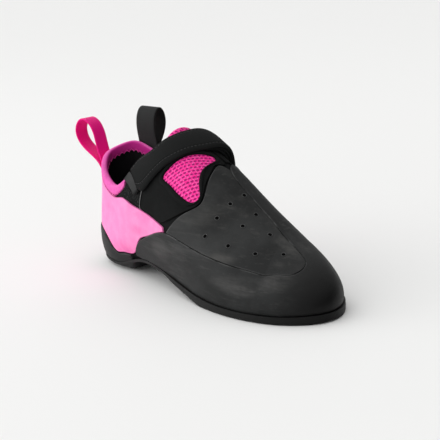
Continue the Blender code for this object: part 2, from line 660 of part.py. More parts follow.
def build_rubber(shader):
    """The rubber on the upper: forefoot rand, toe patch and heel cup."""
    count = 2 * len(RAND_ROWS) - 1
    edge = chart_curve(RAND_ROWS, "edge_s", "edge_w", RAND_COLUMNS, count)
    foot = along(RAND_ROWS, RAND_COLUMNS, count)["foot"]
    foot = to_chart(1.0 - np.abs(1.0 - foot), np.where(foot < 1.0, -1.0, 1.0))
    overlay("rand", *from_chart(between(foot, edge, 6)), 1.3 * FACET_GAP, GAP + RUBBER_THICKNESS, shader)

    sides = [chart_curve(RAND_ROWS, "edge_s", "edge_w", RAND_COLUMNS, 15, corner, PATCH_FRONT_ROW, FACET_GAP)
             for corner in (PATCH_LATERAL_ROW, PATCH_MEDIAL_ROW)]
    grid = between(*sides, 9)
    rear = chart_curve(PATCH_REAR, "s", "w", PATCH_REAR_COLUMNS, 10)
    share = np.linspace(0.0, 1.0, 10)[:, None]
    rear = rear + (grid[0, 0] - rear[0]) * (1.0 - share) + (grid[0, -1] - rear[-1]) * share
    ease = (1.0 - np.linspace(0.0, 1.0, 15)[:, None, None]) ** 2
    grid = grid + ease * (rear - grid[0])
    overlay("toe_patch", *from_chart(grid), FACET_GAP, GAP + RUBBER_THICKNESS, shader)

    t = np.linspace(-HEEL_CUP_END, HEEL_CUP_END, 25)
    knots = column(HEEL_ROWS, HEEL_COLUMNS, "t")
    top = spline(knots, column(HEEL_ROWS, HEEL_COLUMNS, "rubber_top"))(t)
    v = between(np.zeros_like(t), np.maximum(top, 0.03), 3)
    side = np.where(t < 0, -1.0, 1.0)[:, None]
    overlay("heel_cup", np.abs(t)[:, None] + 0 * v, side * (1.0 - v), FACET_GAP, GAP + RUBBER_THICKNESS, shader)


def build_panels(pink, black, stretch):
    """The fabric panels on the upper: heel panel, side panels and stretch gores."""
    knots = column(HEEL_ROWS, HEEL_COLUMNS, "t")
    t = np.linspace(knots[0], knots[-1], 35)
    low = spline(knots, column(HEEL_ROWS, HEEL_COLUMNS, "panel_bottom"))(t)
    high = spline(knots, column(HEEL_ROWS, HEEL_COLUMNS, "panel_top"))(t)
    v = between(low, np.maximum(high, low + 0.012), 5)
    side = np.where(t < 0, -1.0, 1.0)[:, None]
    top = GAP + PANEL_THICKNESS
    overlay("heel_panel", np.abs(t)[:, None] + 0 * v, side * (1.0 - v), FACET_GAP, top, pink)

    edge = along(QUARTER_ROWS, QUARTER_COLUMNS, 3 * len(QUARTER_ROWS) + 1, closed=True)
    s, w = between(edge["outer_s"], edge["window_s"], 2), between(edge["outer_w"], edge["window_w"], 2)
    s[-1], w[-1] = s[0], w[0]
    overlay("quarter_lateral", s, w, FACET_GAP, top, black)

    edge = along(QUARTER_MEDIAL_ROWS, QUARTER_MEDIAL_COLUMNS, 12)
    s, w = between(edge["low_s"], edge["high_s"], 7), between(edge["low_w"], edge["high_w"], 7)
    overlay("quarter_medial", s, w, FACET_GAP, top, black)

    edge = along(GORE_ROWS, GORE_COLUMNS, 9)
    s, w = between(edge["low_s"], edge["high_s"], 5), between(edge["low_w"], edge["high_w"], 5)
    overlay("gore_lateral", s, w, FACET_GAP, GAP + 0.8 * PANEL_THICKNESS, stretch)
    overlay("gore_medial", s, np.maximum(-w - 0.012, BINDING_SHARE), FACET_GAP, GAP + 0.8 * PANEL_THICKNESS, stretch)


def build_strap(fabric, tab_shader):
    """The closing strap over the instep and the stiff tab at its lateral end."""
    base = GAP + PANEL_THICKNESS + GAP
    edge = along(STRAP_ROWS, STRAP_COLUMNS, 27)
    s, w = between(edge["rear_s"], edge["front_s"], 5), between(edge["rear_w"], edge["front_w"], 5)
    lift = np.clip(edge["lift"], 0.0, 1.0)[:, None] * STRAP_LIFT + 0 * s
    overlay("strap", s, w, base, base + lift + STRAP_THICKNESS, fabric)
    edge = along(TAB_ROWS, STRAP_COLUMNS, 3)
    s, w = between(edge["rear_s"], edge["front_s"], 5), between(edge["rear_w"], edge["front_w"], 5)
    overlay("strap_tab", s, w, base, base + STRAP_THICKNESS, tab_shader)


def main():
    """Clears the scene and builds the shoe."""
    for thing in list(bpy.data.objects):
        bpy.data.objects.remove(thing, do_unlink=True)
    rubber = material("black rubber", (0.032, 0.034, 0.035), 0.62)
    sole_rubber = material("sole rubber", (0.014, 0.015, 0.015), 0.55)
    lining = material("pink mesh and lining", (0.80, 0.05, 0.28), 0.75)
    board = material("insole fabric", (0.02, 0.02, 0.02), 0.9)
    pink = material("pink microfibre", (0.94, 0.33, 0.64), 0.6)
    black = material("black microfibre", (0.018, 0.019, 0.018), 0.8)
    stretch = material("black stretch fabric", (0.012, 0.014, 0.012), 0.95)
    web_pink = material("magenta webbing", (0.62, 0.01, 0.21), 0.6)
    web_black = material("black webbing", (0.02, 0.02, 0.02), 0.7)
    tab = material("dark grey rubber tab", (0.05, 0.052, 0.052), 0.55)
    build_upper(lining)
    sole_part("outsole_front", 0.440, 1.0, 22, forefoot_under, SOLE_RIM, sole_rubber)
    sole_part("arch_sole", 0.303, 0.437, 8, arch_under, GAP + RUBBER_THICKNESS, rubber)
    sole_part("outsole_heel", 0.0, 0.300, 13, heel_under, GAP + RUBBER_THICKNESS, sole_rubber)
    build_insole(board)
    build_rubber(rubber)
    build_panels(pink, black, stretch)
    build_binding(pink)
    build_strap(black, tab)
    build_heel_loop(web_pink)
    build_side_loop(web_black)


main()
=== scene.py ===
"""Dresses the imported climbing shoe: smooth panels, rubber, mesh, stitches, webbing, floor, light and camera.

Metres, +Z up, toe to +X, medial side to +Y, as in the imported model. A place on the upper is named by s,
from the back of the heel (0) to the tip of the toe (1), and w, from the lateral sole edge (-1) over the
ridge of the instep (0) to the medial sole edge (1). The tables repeat those that the solids are made of.
"""
import logging
import math
from dataclasses import dataclass
from enum import Enum
from typing import Callable, Sequence

import bmesh
import bpy
import numpy as np
from bpy.types import ID, Material, Node, NodeSocket, NodeTree, Object
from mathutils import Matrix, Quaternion, Vector


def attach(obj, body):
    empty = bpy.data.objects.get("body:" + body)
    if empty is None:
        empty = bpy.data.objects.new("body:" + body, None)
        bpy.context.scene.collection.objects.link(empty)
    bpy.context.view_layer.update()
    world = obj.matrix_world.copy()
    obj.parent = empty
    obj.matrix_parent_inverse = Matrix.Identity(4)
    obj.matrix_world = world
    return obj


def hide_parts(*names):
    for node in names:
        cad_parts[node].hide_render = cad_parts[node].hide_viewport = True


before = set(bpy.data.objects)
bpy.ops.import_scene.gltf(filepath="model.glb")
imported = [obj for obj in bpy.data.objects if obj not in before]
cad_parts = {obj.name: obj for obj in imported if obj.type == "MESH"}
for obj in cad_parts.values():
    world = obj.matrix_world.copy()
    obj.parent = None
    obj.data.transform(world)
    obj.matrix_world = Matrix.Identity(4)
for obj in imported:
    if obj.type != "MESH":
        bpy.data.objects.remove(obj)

LOG = logging.getLogger("climbing_shoe")
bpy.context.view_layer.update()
BODY = "root"
MM = 0.001

# Short names of types; a mark is a soft spot: its centre and half sizes in metres, and its weight
Array = np.ndarray
Pair = tuple[Array, Array]
Place = tuple[float, float, float]
Marks = tuple[tuple[Place, Place, float], ...]

# Driving sizes, as in the solids
LENGTH = 0.2380
BALL_WIDTH = 0.0760
INSTEP_HEIGHT = 0.1000
HEEL_HEIGHT = 0.0760
ARCH_HEIGHT = 0.0200
SOLE_THICKNESS = 0.0050
ARCH_SOLE_THICKNESS = 0.0022
UPPER_WALL = 0.0018
RUBBER_THICKNESS = 0.0019
PANEL_THICKNESS = 0.0012
BINDING_THICKNESS = 0.0009
BINDING_DEPTH = 0.0046
BINDING_GAP = 0.0004
STRAP_THICKNESS = 0.0023
WEB_THICKNESS = 0.0013
SOLE_RIM = 0.0032
HEEL_CONTACT = 0.0300
STRAP_LIFT = 0.0042
HEEL_WEB_WIDTH = 0.0100
SIDE_WEB_WIDTH = 0.0180
HEEL_LOOP_REACH = 0.0310
SIDE_LOOP_HEIGHT = 0.0270
SIDE_LOOP_STATION = 0.173

# Stations where the rims join on the ridge, where the walls start to fan round the toe, and where the
# ridge ends in one point that the walls of the toe share
RIDGE_START = 0.44
TOE_FAN_START = 0.72
TOE_POLE = 0.86

# The flat chart of the upper: its stretch along s, and how much of it one metre of wall takes up
CHART_STRETCH = 4.1
CHART_UNIT = 18.0

# The sole's edge: x in LENGTH, half widths in BALL_WIDTH, lift off the sole in ARCH_HEIGHT
FOOT_COLUMNS = ("s", "x", "lateral", "medial", "lateral_lift", "medial_lift")
FOOT_ROWS = (
    (0.0, 0.034, 0.0, 0.0, 0.16, 0.16), (0.06, 0.046, -0.132, 0.118, 0.1, 0.1),
    (0.14, 0.101, -0.224, 0.211, 0.02, 0.02), (0.24, 0.185, -0.263, 0.237, 0.06, 0.12),
    (0.34, 0.303, -0.316, 0.237, 0.47, 0.72), (0.44, 0.42, -0.368, 0.263, 0.45, 0.86),
    (0.54, 0.529, -0.414, 0.342, 0.25, 0.45), (0.65, 0.634, -0.461, 0.414, 0.07, 0.14),
    (0.76, 0.744, -0.474, 0.434, 0.01, 0.01), (0.86, 0.849, -0.414, 0.388, 0.01, 0.01),
    (0.94, 0.933, -0.263, 0.23, 0.03, 0.03), (1.0, 0.975, -0.026, -0.026, 0.05, 0.05),
)

# The top line: x in LENGTH, y in BALL_WIDTH, heights as shares of HEEL_HEIGHT and INSTEP_HEIGHT
TOP_COLUMNS = ("s", "x", "lateral", "medial", "lateral_heel", "medial_heel", "instep")
TOP_ROWS = (
    (0.0, 0.029, 0.0, 0.0, 1.0, 1.0, 0.0), (0.06, 0.043, -0.095, 0.132, 0.96, 1.045, 0.0),
    (0.14, 0.083, -0.2, 0.224, 0.865, 1.06, 0.0), (0.24, 0.166, -0.28, 0.263, 0.775, 0.975, 0.0),
    (0.34, 0.252, -0.276, 0.25, 0.52, 0.61, 0.295), (0.44, 0.336, 0.013, 0.013, 0.0, 0.0, 0.93),
    (0.54, 0.445, 0.079, 0.079, 0.0, 0.0, 0.918), (0.65, 0.546, 0.145, 0.145, 0.0, 0.0, 0.778),
    (0.76, 0.647, 0.19, 0.19, 0.0, 0.0, 0.593), (0.86, 0.74, 0.204, 0.204, 0.0, 0.0, 0.449),
)

# The wall's curve: bulge near the foot and reach at the top in BALL_WIDTH, heights in the wall's height
WALL_COLUMNS = (
    "s", "lateral_bulge", "medial_bulge", "bulge_height", "lateral_reach", "medial_reach", "top_drop",
)
WALL_ROWS = (
    (0.0, 0.053, 0.053, 0.25, 0.0, 0.0, 0.35), (0.06, 0.074, 0.092, 0.2, 0.0, 0.0, 0.35),
    (0.14, 0.087, 0.105, 0.2, 0.0, 0.0, 0.35), (0.24, 0.105, 0.105, 0.2, 0.0, 0.0, 0.35),
    (0.34, 0.105, 0.079, 0.3, 0.08, 0.08, 0.2), (0.44, 0.105, 0.066, 0.35, 0.29, 0.31, 0.0),
    (0.54, 0.105, 0.039, 0.4, 0.28, 0.25, 0.0), (0.65, 0.105, 0.026, 0.4, 0.26, 0.12, 0.0),
    (0.76, 0.105, 0.026, 0.4, 0.25, 0.09, 0.0), (0.86, 0.092, 0.039, 0.4, 0.25, 0.11, 0.0),
    (0.94, 0.092, 0.066, 0.4, 0.27, 0.18, 0.0), (1.0, 0.092, 0.092, 0.4, 0.28, 0.28, 0.0),
)

# The sole's underside at its edges, in ARCH_HEIGHT: what is below zero lies flat on the floor
UNDER_COLUMNS = ("s", "lateral", "medial")
UNDER_ROWS = (
    (0.44, 0.56, 0.9), (0.54, 0.27, 0.44), (0.62, 0.06, 0.12), (0.68, -0.06, -0.04), (0.8, -0.12, -0.12),
    (0.92, -0.06, -0.06), (1.0, 0.06, 0.06),
)

# Rubber round the forefoot: its upper edge as s and w (w is side times 1 - v), and the station of the
# foot below it, counted on round the toe from the lateral side (below 1) to the medial (above 1)
RAND_COLUMNS = ("edge_s", "edge_w", "foot")
RAND_ROWS = (
    (0.33, -0.94, 0.36), (0.336, -0.87, 0.372), (0.362, -0.8, 0.395), (0.413, -0.77, 0.435),
    (0.49, -0.735, 0.495), (0.58, -0.72, 0.585), (0.682, -0.69, 0.682), (0.768, -0.648, 0.765),
    (0.826, -0.608, 0.82), (0.878, -0.571, 0.88), (0.922, -0.563, 0.935), (0.951, -0.528, 0.965),
    (0.97, -0.462, 0.99), (0.969, -0.375, 1.015), (0.94, -0.262, 1.05), (0.89, -0.178, 1.1),
    (0.838, -0.118, 1.155), (0.78, -0.092, 1.215), (0.728, -0.085, 1.27), (0.685, -0.075, 1.325),
    (0.652, -0.02, 1.38), (0.64, 0.1, 1.42), (0.625, 0.3, 1.46), (0.585, 0.52, 1.5), (0.515, 0.68, 1.54),
    (0.43, 0.77, 1.58), (0.375, 0.81, 1.61), (0.345, 0.92, 1.64),
)

# The toe patch lies inside the rand's edge: the rand's rows at its two rear corners and its front, and
# the patch's own rear edge from the lateral corner to the medial one
PATCH_LATERAL_ROW = 4.15
PATCH_FRONT_ROW = 12.5
PATCH_MEDIAL_ROW = 19.7
PATCH_REAR_COLUMNS = ("s", "w")
PATCH_REAR = (
    (0.505, -0.722), (0.568, -0.585), (0.628, -0.47), (0.643, -0.385), (0.638, -0.29), (0.635, -0.17),
    (0.64, -0.105), (0.668, -0.075),
)

# The side panel round the mesh window: its outer outline and the window's outline beside it
QUARTER_COLUMNS = ("outer_s", "outer_w", "window_s", "window_w")
QUARTER_ROWS = (
    (0.4, -0.57, 0.485, -0.43), (0.443, -0.65, 0.512, -0.452), (0.486, -0.682, 0.54, -0.47),
    (0.56, -0.58, 0.575, -0.476), (0.616, -0.475, 0.604, -0.46), (0.633, -0.395, 0.622, -0.405),
    (0.628, -0.3, 0.612, -0.35), (0.625, -0.18, 0.6, -0.27), (0.624, -0.09, 0.603, -0.18),
    (0.632, -0.012, 0.611, -0.08), (0.56, -0.012, 0.595, -0.052), (0.5, -0.08, 0.56, -0.14),
    (0.455, -0.2, 0.53, -0.24), (0.418, -0.4, 0.498, -0.36),
)
STRIP_COLUMNS = ("low_s", "low_w", "high_s", "high_w")
QUARTER_MEDIAL_ROWS = (
    (0.41, 0.56, 0.462, 0.03), (0.443, 0.63, 0.5, 0.01), (0.484, 0.67, 0.54, 0.01),
    (0.525, 0.63, 0.58, 0.01), (0.568, 0.53, 0.61, 0.01), (0.613, 0.31, 0.63, 0.02),
)

# The heel: edges of its rubber cup and of its pink panel in v, along t (t is side times s)
HEEL_COLUMNS = ("t", "rubber_top", "panel_bottom", "panel_top")
HEEL_ROWS = (
    (-0.486, 0.02, 0.285, 0.292), (-0.443, 0.02, 0.262, 0.335), (-0.4, 0.02, 0.248, 0.42),
    (-0.352, 0.02, 0.205, 0.6), (-0.328, 0.03, 0.11, 0.735), (-0.273, 0.15, 0.168, 0.87),
    (-0.24, 0.185, 0.203, 0.893), (-0.2, 0.3, 0.318, 0.905), (-0.158, 0.37, 0.388, 0.908),
    (-0.1, 0.385, 0.403, 0.915), (0.0, 0.39, 0.408, 0.918), (0.1, 0.385, 0.403, 0.915),
    (0.158, 0.37, 0.388, 0.91), (0.2, 0.3, 0.318, 0.905), (0.24, 0.185, 0.203, 0.897),
    (0.273, 0.15, 0.168, 0.875), (0.33, 0.03, 0.11, 0.735), (0.352, 0.02, 0.205, 0.6),
    (0.4, 0.02, 0.255, 0.42), (0.443, 0.02, 0.275, 0.345), (0.48, 0.02, 0.3, 0.315),
)
HEEL_CUP_END = 0.300
BINDING_LATERAL_END = -0.328
BINDING_MEDIAL_END = 0.415
BINDING_SHARE = 0.112

# The stretch fabric between heel panel, binding and side panel
GORE_ROWS = (
    (0.298, -0.16, 0.298, -0.13), (0.315, -0.2, 0.316, -0.132), (0.335, -0.3, 0.336, -0.112),
    (0.358, -0.4, 0.354, -0.034), (0.388, -0.525, 0.4, -0.03), (0.395, -0.53, 0.43, -0.03),
)

# The strap: its rear and front edges from the lateral end over the instep to the medial side
STRAP_COLUMNS = ("rear_s", "rear_w", "front_s", "front_w", "lift")
STRAP_ROWS = (
    (0.356, -0.03, 0.404, -0.44, 0.0), (0.378, -0.05, 0.42, -0.475, 0.0),
    (0.405, -0.14, 0.443, -0.455, 0.0), (0.432, -0.19, 0.475, -0.395, 0.0),
    (0.455, -0.15, 0.517, -0.285, 0.03), (0.475, -0.08, 0.547, -0.175, 0.06),
    (0.487, 0.02, 0.576, -0.055, 0.28), (0.494, 0.13, 0.588, 0.06, 0.8), (0.496, 0.26, 0.58, 0.185, 1.0),
    (0.493, 0.39, 0.559, 0.325, 0.7), (0.486, 0.51, 0.536, 0.46, 0.25), (0.476, 0.6, 0.52, 0.56, 0.0),
)
TAB_ROWS = (
    (0.334, -0.03, 0.388, -0.44, 0.0), (0.353, -0.03, 0.402, -0.44, 0.0),
)

# Heel loop in the plane of its side view: x and z in HEEL_LOOP_REACH from the rim's back
HEEL_LOOP_COLUMNS = ("x", "z")
HEEL_LOOP_ROWS = (
    (-0.09, -0.4), (-0.24, -0.24), (-0.49, -0.11), (-0.8, 0.04), (-1.01, 0.22), (-1.06, 0.43),
    (-0.94, 0.62), (-0.73, 0.7), (-0.5, 0.63), (-0.34, 0.45), (-0.26, 0.23), (-0.19, 0.01), (-0.1, -0.18),
    (-0.025, -0.34), (-0.004, -0.5),
)

# Side loop seen along its webbing: outward from the wall and up, in SIDE_LOOP_HEIGHT
SIDE_LOOP_COLUMNS = ("out", "up")
SIDE_LOOP_ROWS = (
    (0.0, -0.3), (0.01, -0.1), (-0.01, 0.15), (-0.05, 0.45), (-0.03, 0.75), (0.06, 0.94), (0.17, 1.0),
    (0.28, 0.94), (0.36, 0.74), (0.34, 0.48), (0.23, 0.24), (0.11, 0.05), (0.065, -0.12), (0.06, -0.3),
)

# The toe patch's vent holes, their radius, and the seam beside the patch
VENT_COLUMNS = ("s", "w")
VENT_ROWS = (
    (0.677, -0.58), (0.698, -0.43), (0.715, -0.28), (0.730, -0.13), (0.755, -0.53), (0.770, -0.34),
    (0.782, -0.18), (0.823, -0.46), (0.833, -0.24), (0.897, -0.36),
)
VENT_RADIUS = 0.00145
PATCH_SEAM = 0.00015

# How far the heel panel's front ends reach down to the rand, as a share of the wall
PANEL_TUCK = 0.020

# Rows of the side panel's table where the mesh window and the piping begin and end
WINDOW_REAR_ROW, WINDOW_FRONT_ROW = 13.5, 5.0
PIPING_LOW_ROW, PIPING_HIGH_ROW = 14.0, 11.6

# The mesh's cell and row in millimetres, and the directions in which they run over the instep
MESH_CELL, MESH_ROW = 2.8, 2.3
MESH_ALONG, MESH_ACROSS = (0.616, 0.788, 0.0), (-0.741, 0.579, 0.340)

# A stitch's half length in pitches, and how many millimetres count as far from any edge
STITCH_HALF_SHARE = 0.36
FAR_FROM_EDGE = 10.0

# Dusty places on the rand and the patch, painted shade darkening the toe and its medial side, and stains on
# the heel panel
RAND_DUST: Marks = (
    ((0.156, -0.034, 0.020), (0.030, 0.02, 0.007), 0.55),
    ((0.177, -0.020, 0.023), (0.012, 0.02, 0.006), 0.85),
    ((0.076, -0.033, 0.028), (0.015, 0.02, 0.010), 0.35),
)
PATCH_DUST: Marks = (
    ((0.108, -0.022, 0.056), (0.016, 0.02, 0.012), 0.40),
    ((0.140, -0.032, 0.034), (0.016, 0.01, 0.004), 0.70),
)
# Painted shade: spots where the rubber is darkened towards black, where little light falls
PAINTED_TOE_SHADE: Marks = (
    ((0.206, 0.004, 0.020), (0.044, 0.064, 0.050), 0.95),
    ((0.150, 0.034, 0.020), (0.060, 0.020, 0.040), 0.60),
)
HEEL_STAINS: Marks = (
    ((0.024, -0.026, 0.015), (0.020, 0.02, 0.012), 0.75),
    ((0.002, -0.024, 0.014), (0.02, 0.02, 0.006), 0.60),
    ((0.045, -0.030, 0.036), (0.010, 0.02, 0.005), 0.50),
)


def column(rows: Sequence, names: Sequence[str], name: str) -> Array:
    """Reads one named column of a table as an array."""
    return np.array([row[names.index(name)] for row in rows], float)


def spline(knots: Sequence[float], values: Sequence[float], start: float | None = None,
           end: float | None = None) -> Callable[[Array], Array]:
    """Makes a smooth cubic curve through values, with natural ends or the end slopes given.

    Args:
        knots: where the values are.
        values: the values there.
        start: the slope at the first knot, if any.
        end: the slope at the last knot, if any.

    Returns:
        A function that reads the curve.
    """
    knots, values = np.asarray(knots, float), np.asarray(values, float)
    count, step = len(knots), np.diff(knots)
    slope = np.diff(values) / step
    matrix, right = np.zeros((count, count)), np.zeros(count)
    for i in range(1, count - 1):
        matrix[i, i - 1:i + 2] = step[i], 2.0 * (step[i - 1] + step[i]), step[i - 1]
        right[i] = 3.0 * (step[i] * slope[i - 1] + step[i - 1] * slope[i])
    matrix[0, 0], right[0] = (1.0, start) if start is not None else (2.0, 3.0 * slope[0])
    matrix[0, 1] = 0.0 if start is not None else 1.0
    matrix[-1, -1], right[-1] = (1.0, end) if end is not None else (2.0, 3.0 * slope[-1])
    matrix[-1, -2] = 0.0 if end is not None else 1.0
    tangent = np.linalg.solve(matrix, right)

    def at(place: Array) -> Array:
        """Reads the curve."""
        place = np.clip(np.asarray(place, float), knots[0], knots[-1])
        i = np.clip(np.searchsorted(knots, place, side="right") - 1, 0, count - 2)
        u = (place - knots[i]) / step[i]
        return ((2 * u**3 - 3 * u**2 + 1) * values[i] + (u**3 - 2 * u**2 + u) * step[i] * tangent[i]
                + (3 * u**2 - 2 * u**3) * values[i + 1] + (u**3 - u**2) * step[i] * tangent[i + 1])
    return at


def unit(vectors: Array) -> Array:
    """Scales vectors, whose last axis is X, Y, Z, to unit length."""
    return vectors / np.maximum(np.linalg.norm(vectors, axis=-1, keepdims=True), 1.0e-12)


def smooth_step(values: Array, low: float, high: float) -> Array:
    """Eases values from 0 at low to 1 at high."""
    share = np.clip((values - low) / (high - low), 0.0, 1.0)
    return share * share * (3.0 - 2.0 * share)


def blend(first: Array, second: Array, share: Array | float) -> Array:
    """Moves evenly from the first, where the share is 0, to the second, where it is 1."""
    return first * (1.0 - share) + second * share


def bell(values: Array, centre: float, reach: float) -> Array:
    """Makes a soft bump: 1 at the centre, close to 0 at twice the reach."""
    return np.exp(-((values - centre) / reach) ** 2)


def round_heel(at: Array, v: Array) -> Pair:
    """Turns side times station, and shares of the wall from the sole's edge, into s and w."""
    return np.abs(at), np.where(at < 0, -1.0, 1.0) * (1.0 - v)


class Curves:
    """A table's columns as smooth curves over the row number, or over one of its own columns."""

    def __init__(self, rows: Sequence, names: Sequence[str], closed: bool = False,
                 over: str | None = None) -> None:
        """Fits the curves.

        Args:
            rows: the table's rows.
            names: the names of its columns.
            closed: whether the last row leads back to the first.
            over: the column to read along, or None for the row number.
        """
        table = np.array(rows, float)
        self.last = float(len(rows) if closed else len(rows) - 1)
        if closed:
            table = np.vstack([table[-3:], table, table[:3]])
        knots = np.arange(len(table)) - (3.0 if closed else 0.0)
        if over is not None:
            knots = table[:, names.index(over)]
        self.curves = {name: spline(knots, table[:, i]) for i, name in enumerate(names)}

    def at(self, place: Array, name: str) -> Array:
        """Reads one column at row numbers, or at values of the column read along."""
        return self.curves[name](place)

    def edge(self, place: Array, name: str) -> Pair:
        """Reads s and w of one of the table's edges."""
        return self.at(place, name + "_s"), self.at(place, name + "_w")

    def between(self, place: Array, first: str, second: str, share: Array) -> Pair:
        """Reads s and w between two of the table's edges."""
        near, far = self.edge(place, first), self.edge(place, second)
        return blend(near[0], far[0], share), blend(near[1], far[1], share)


class Last:
    """The foot-shaped form that the shoe's upper is drawn over. Side -1 is lateral, +1 medial."""

    def __init__(self) -> None:
        """Fits the curves of the tables."""
        self.foot = Curves(FOOT_ROWS, FOOT_COLUMNS, over="s").curves
        self.top = Curves(TOP_ROWS, TOP_COLUMNS, over="s").curves
        self.wall = Curves(WALL_ROWS, WALL_COLUMNS, over="s").curves
        self.under = Curves(UNDER_ROWS, UNDER_COLUMNS, over="s").curves
        stations = column(FOOT_ROWS, FOOT_COLUMNS, "s")
        for level in ("x", "lateral_lift", "medial_lift"):
            self.foot[level] = spline(stations, column(FOOT_ROWS, FOOT_COLUMNS, level), 0.0, 0.0)
        tops = column(TOP_ROWS, TOP_COLUMNS, "s")
        self.top["x"] = spline(tops, column(TOP_ROWS, TOP_COLUMNS, "x"), 0.0, None)

    @staticmethod
    def wall_name(side: int) -> str:
        """Names a side, -1 for lateral or +1 for medial, as the tables' columns do."""
        return "lateral" if side < 0 else "medial"

    def foot_edge(self, s: Array, side: int) -> Array:
        """Finds the sole's edge, where the upper's outer face ends.

        Args:
            s: stations.
            side: -1 or +1.

        Returns:
            Points.
        """
        name = self.wall_name(side)
        z = SOLE_THICKNESS + self.foot[name + "_lift"](s) * ARCH_HEIGHT
        return np.stack([self.foot["x"](s) * LENGTH - HEEL_CONTACT, self.foot[name](s) * BALL_WIDTH, z], -1)

    def top_line(self, s: Array, side: int) -> Array:
        """Finds the collar's rim, or the ridge in front of it.

        Args:
            s: stations.
            side: -1 or +1.

        Returns:
            Points.
        """
        s = np.minimum(s, TOE_POLE)
        name, rim = self.wall_name(side), s < RIDGE_START
        y = np.where(rim, self.top[name](s), self.top["lateral"](s))
        heel = np.where(rim, self.top[name + "_heel"](s), self.top["lateral_heel"](s))
        z = heel * HEEL_HEIGHT + self.top["instep"](s) * INSTEP_HEIGHT
        return np.stack([self.top["x"](s) * LENGTH - HEEL_CONTACT, y * BALL_WIDTH, z], -1)

    def ridge_run(self, s: Array) -> Array:
        """Finds the direction in which the top line runs.

        Args:
            s: stations.

        Returns:
            Unit vectors.
        """
        step = 1.0e-3
        s = np.clip(s, step, TOE_POLE - step)
        return unit(self.top_line(s + step, -1) - self.top_line(s - step, -1))

    def outward(self, s: Array, side: int) -> Array:
        """Finds the level direction that points out of the sole's outline.

        Args:
            s: stations.
            side: -1 or +1.

        Returns:
            Unit vectors.
        """
        step = 1.0e-3
        run = self.foot_edge(np.clip(s + step, 0, 1), side) - self.foot_edge(np.clip(s - step, 0, 1), side)
        out = np.stack([-side * run[..., 1], side * run[..., 0], np.zeros_like(run[..., 0])], -1)
        out[..., 1] = np.where((s <= 0.0) | (s >= 1.0), 0.0, out[..., 1])
        return unit(out)

    def point(self, s: Array, v: Array, side: int) -> Array:
        """Finds the upper's outer face on one wall.

        Args:
            s: stations.
            v: shares of the wall from the sole's edge (0) to the top line (1).
            side: -1 or +1.

        Returns:
            Points.
        """
        s, v = np.broadcast_arrays(np.asarray(s, float), np.asarray(v, float))
        name = self.wall_name(side)
        foot, top = self.foot_edge(s, side), self.top_line(s, side)
        out, ridge = self.outward(s, side), self.ridge_run(s)
        height = top[..., 2] - foot[..., 2]
        turn = (smooth_step(s, TOE_FAN_START, 1.0) * np.pi / 2.0)[..., None]
        across = np.array([0.0, float(side), 0.0])
        on_ridge = np.clip((s - 0.34) / (RIDGE_START - 0.34), 0, 1)[..., None]
        reach = (np.cos(turn) * across + np.sin(turn) * ridge) * on_ridge + out * (1.0 - on_ridge)
        low = foot + out * (self.wall[name + "_bulge"](s) * BALL_WIDTH)[..., None]
        low[..., 2] += self.wall["bulge_height"](s) * height
        high = top + reach * (self.wall[name + "_reach"](s) * BALL_WIDTH)[..., None]
        high[..., 2] -= self.wall["top_drop"](s) * height
        v = v[..., None]
        return foot * (1 - v)**3 + 3 * low * v * (1 - v)**2 + 3 * high * v * v * (1 - v) + top * v**3

    def wall_normal(self, s: Array, v: Array, side: int) -> Array:
        """Finds the outward normal of one wall.

        Args:
            s: stations.
            v: shares of the wall.
            side: -1 or +1.

        Returns:
            Unit vectors.
        """
        step = 2.0e-3
        ahead, behind = np.clip(s + step, 0, 1), np.clip(s - step, 0, 1)
        over, below = np.clip(v + step, 0, 1), np.clip(v - step, 0, 1)
        along_s = self.point(ahead, v, side) - self.point(behind, v, side)
        along_v = self.point(s, over, side) - self.point(s, below, side)
        face = unit(np.cross(along_s, along_v) * -side)
        crown = unit(np.cross(self.ridge_run(s), np.array([0.0, 1.0, 0.0])))
        at_pole = (s >= TOE_POLE - step) & (v >= 1.0 - step)
        return np.where(at_pole[..., None], crown, face)

    def normal(self, s: Array, v: Array, side: int) -> Array:
        """Finds the outward normal, evened out where both walls meet.

        Args:
            s: stations.
            v: shares of the wall.
            side: -1 or +1.

        Returns:
            Unit vectors.
        """
        s, v = np.broadcast_arrays(np.asarray(s, float), np.asarray(v, float))
        own, other = self.wall_normal(s, v, side), self.wall_normal(s, v, -side)
        ridge = np.where(s >= RIDGE_START, smooth_step(v, 0.965, 1.0), 0.0) * 0.5
        ends = 0.5 * np.maximum(1.0 - smooth_step(s, 0.0, 0.02), smooth_step(s, 0.985, 1.0))
        share = np.maximum(ridge, ends)[..., None]
        return unit(own * (1.0 - share) + other * share)

    def on(self, s: Array, w: Array, offset: Array | float = 0.0) -> Array:
        """Finds points at s and w, raised off the upper's outer face.

        Args:
            s: stations.
            w: places across, from -1 at the lateral sole edge to +1 at the medial one.
            offset: height above the face, in metres.

        Returns:
            Points.
        """
        s, w = np.broadcast_arrays(np.clip(s, 0, 1), np.clip(w, -1, 1))
        offset = np.broadcast_to(offset, s.shape)[..., None]
        points = np.empty(s.shape + (3,))
        for side, own in ((-1, w < 0), (1, w >= 0)):
            v = 1.0 - np.abs(w[own])
            points[own] = self.point(s[own], v, side) + self.normal(s[own], v, side) * offset[own]
            points[own, 2] = np.maximum(points[own, 2], self.foot_edge(s[own], side)[:, 2])
        return points


def to_chart(s: Array, w: Array) -> Array:
    """Lays s and w out flat: a strip behind the ridge's end and a half disc round the toe.

    Args:
        s: stations.
        w: places across.

    Returns:
        Flat places.
    """
    s, w = np.broadcast_arrays(np.asarray(s, float), np.asarray(w, float))
    turn = np.sign(w) * np.clip((1.0 - s) / (1.0 - TOE_POLE), 0, 1) * np.pi / 2.0
    strip = s < TOE_POLE
    ahead = np.where(strip, (s - TOE_POLE) * CHART_STRETCH, np.abs(w) * np.cos(turn))
    return np.stack([ahead, np.where(strip, w, np.abs(w) * np.sin(turn))], -1)


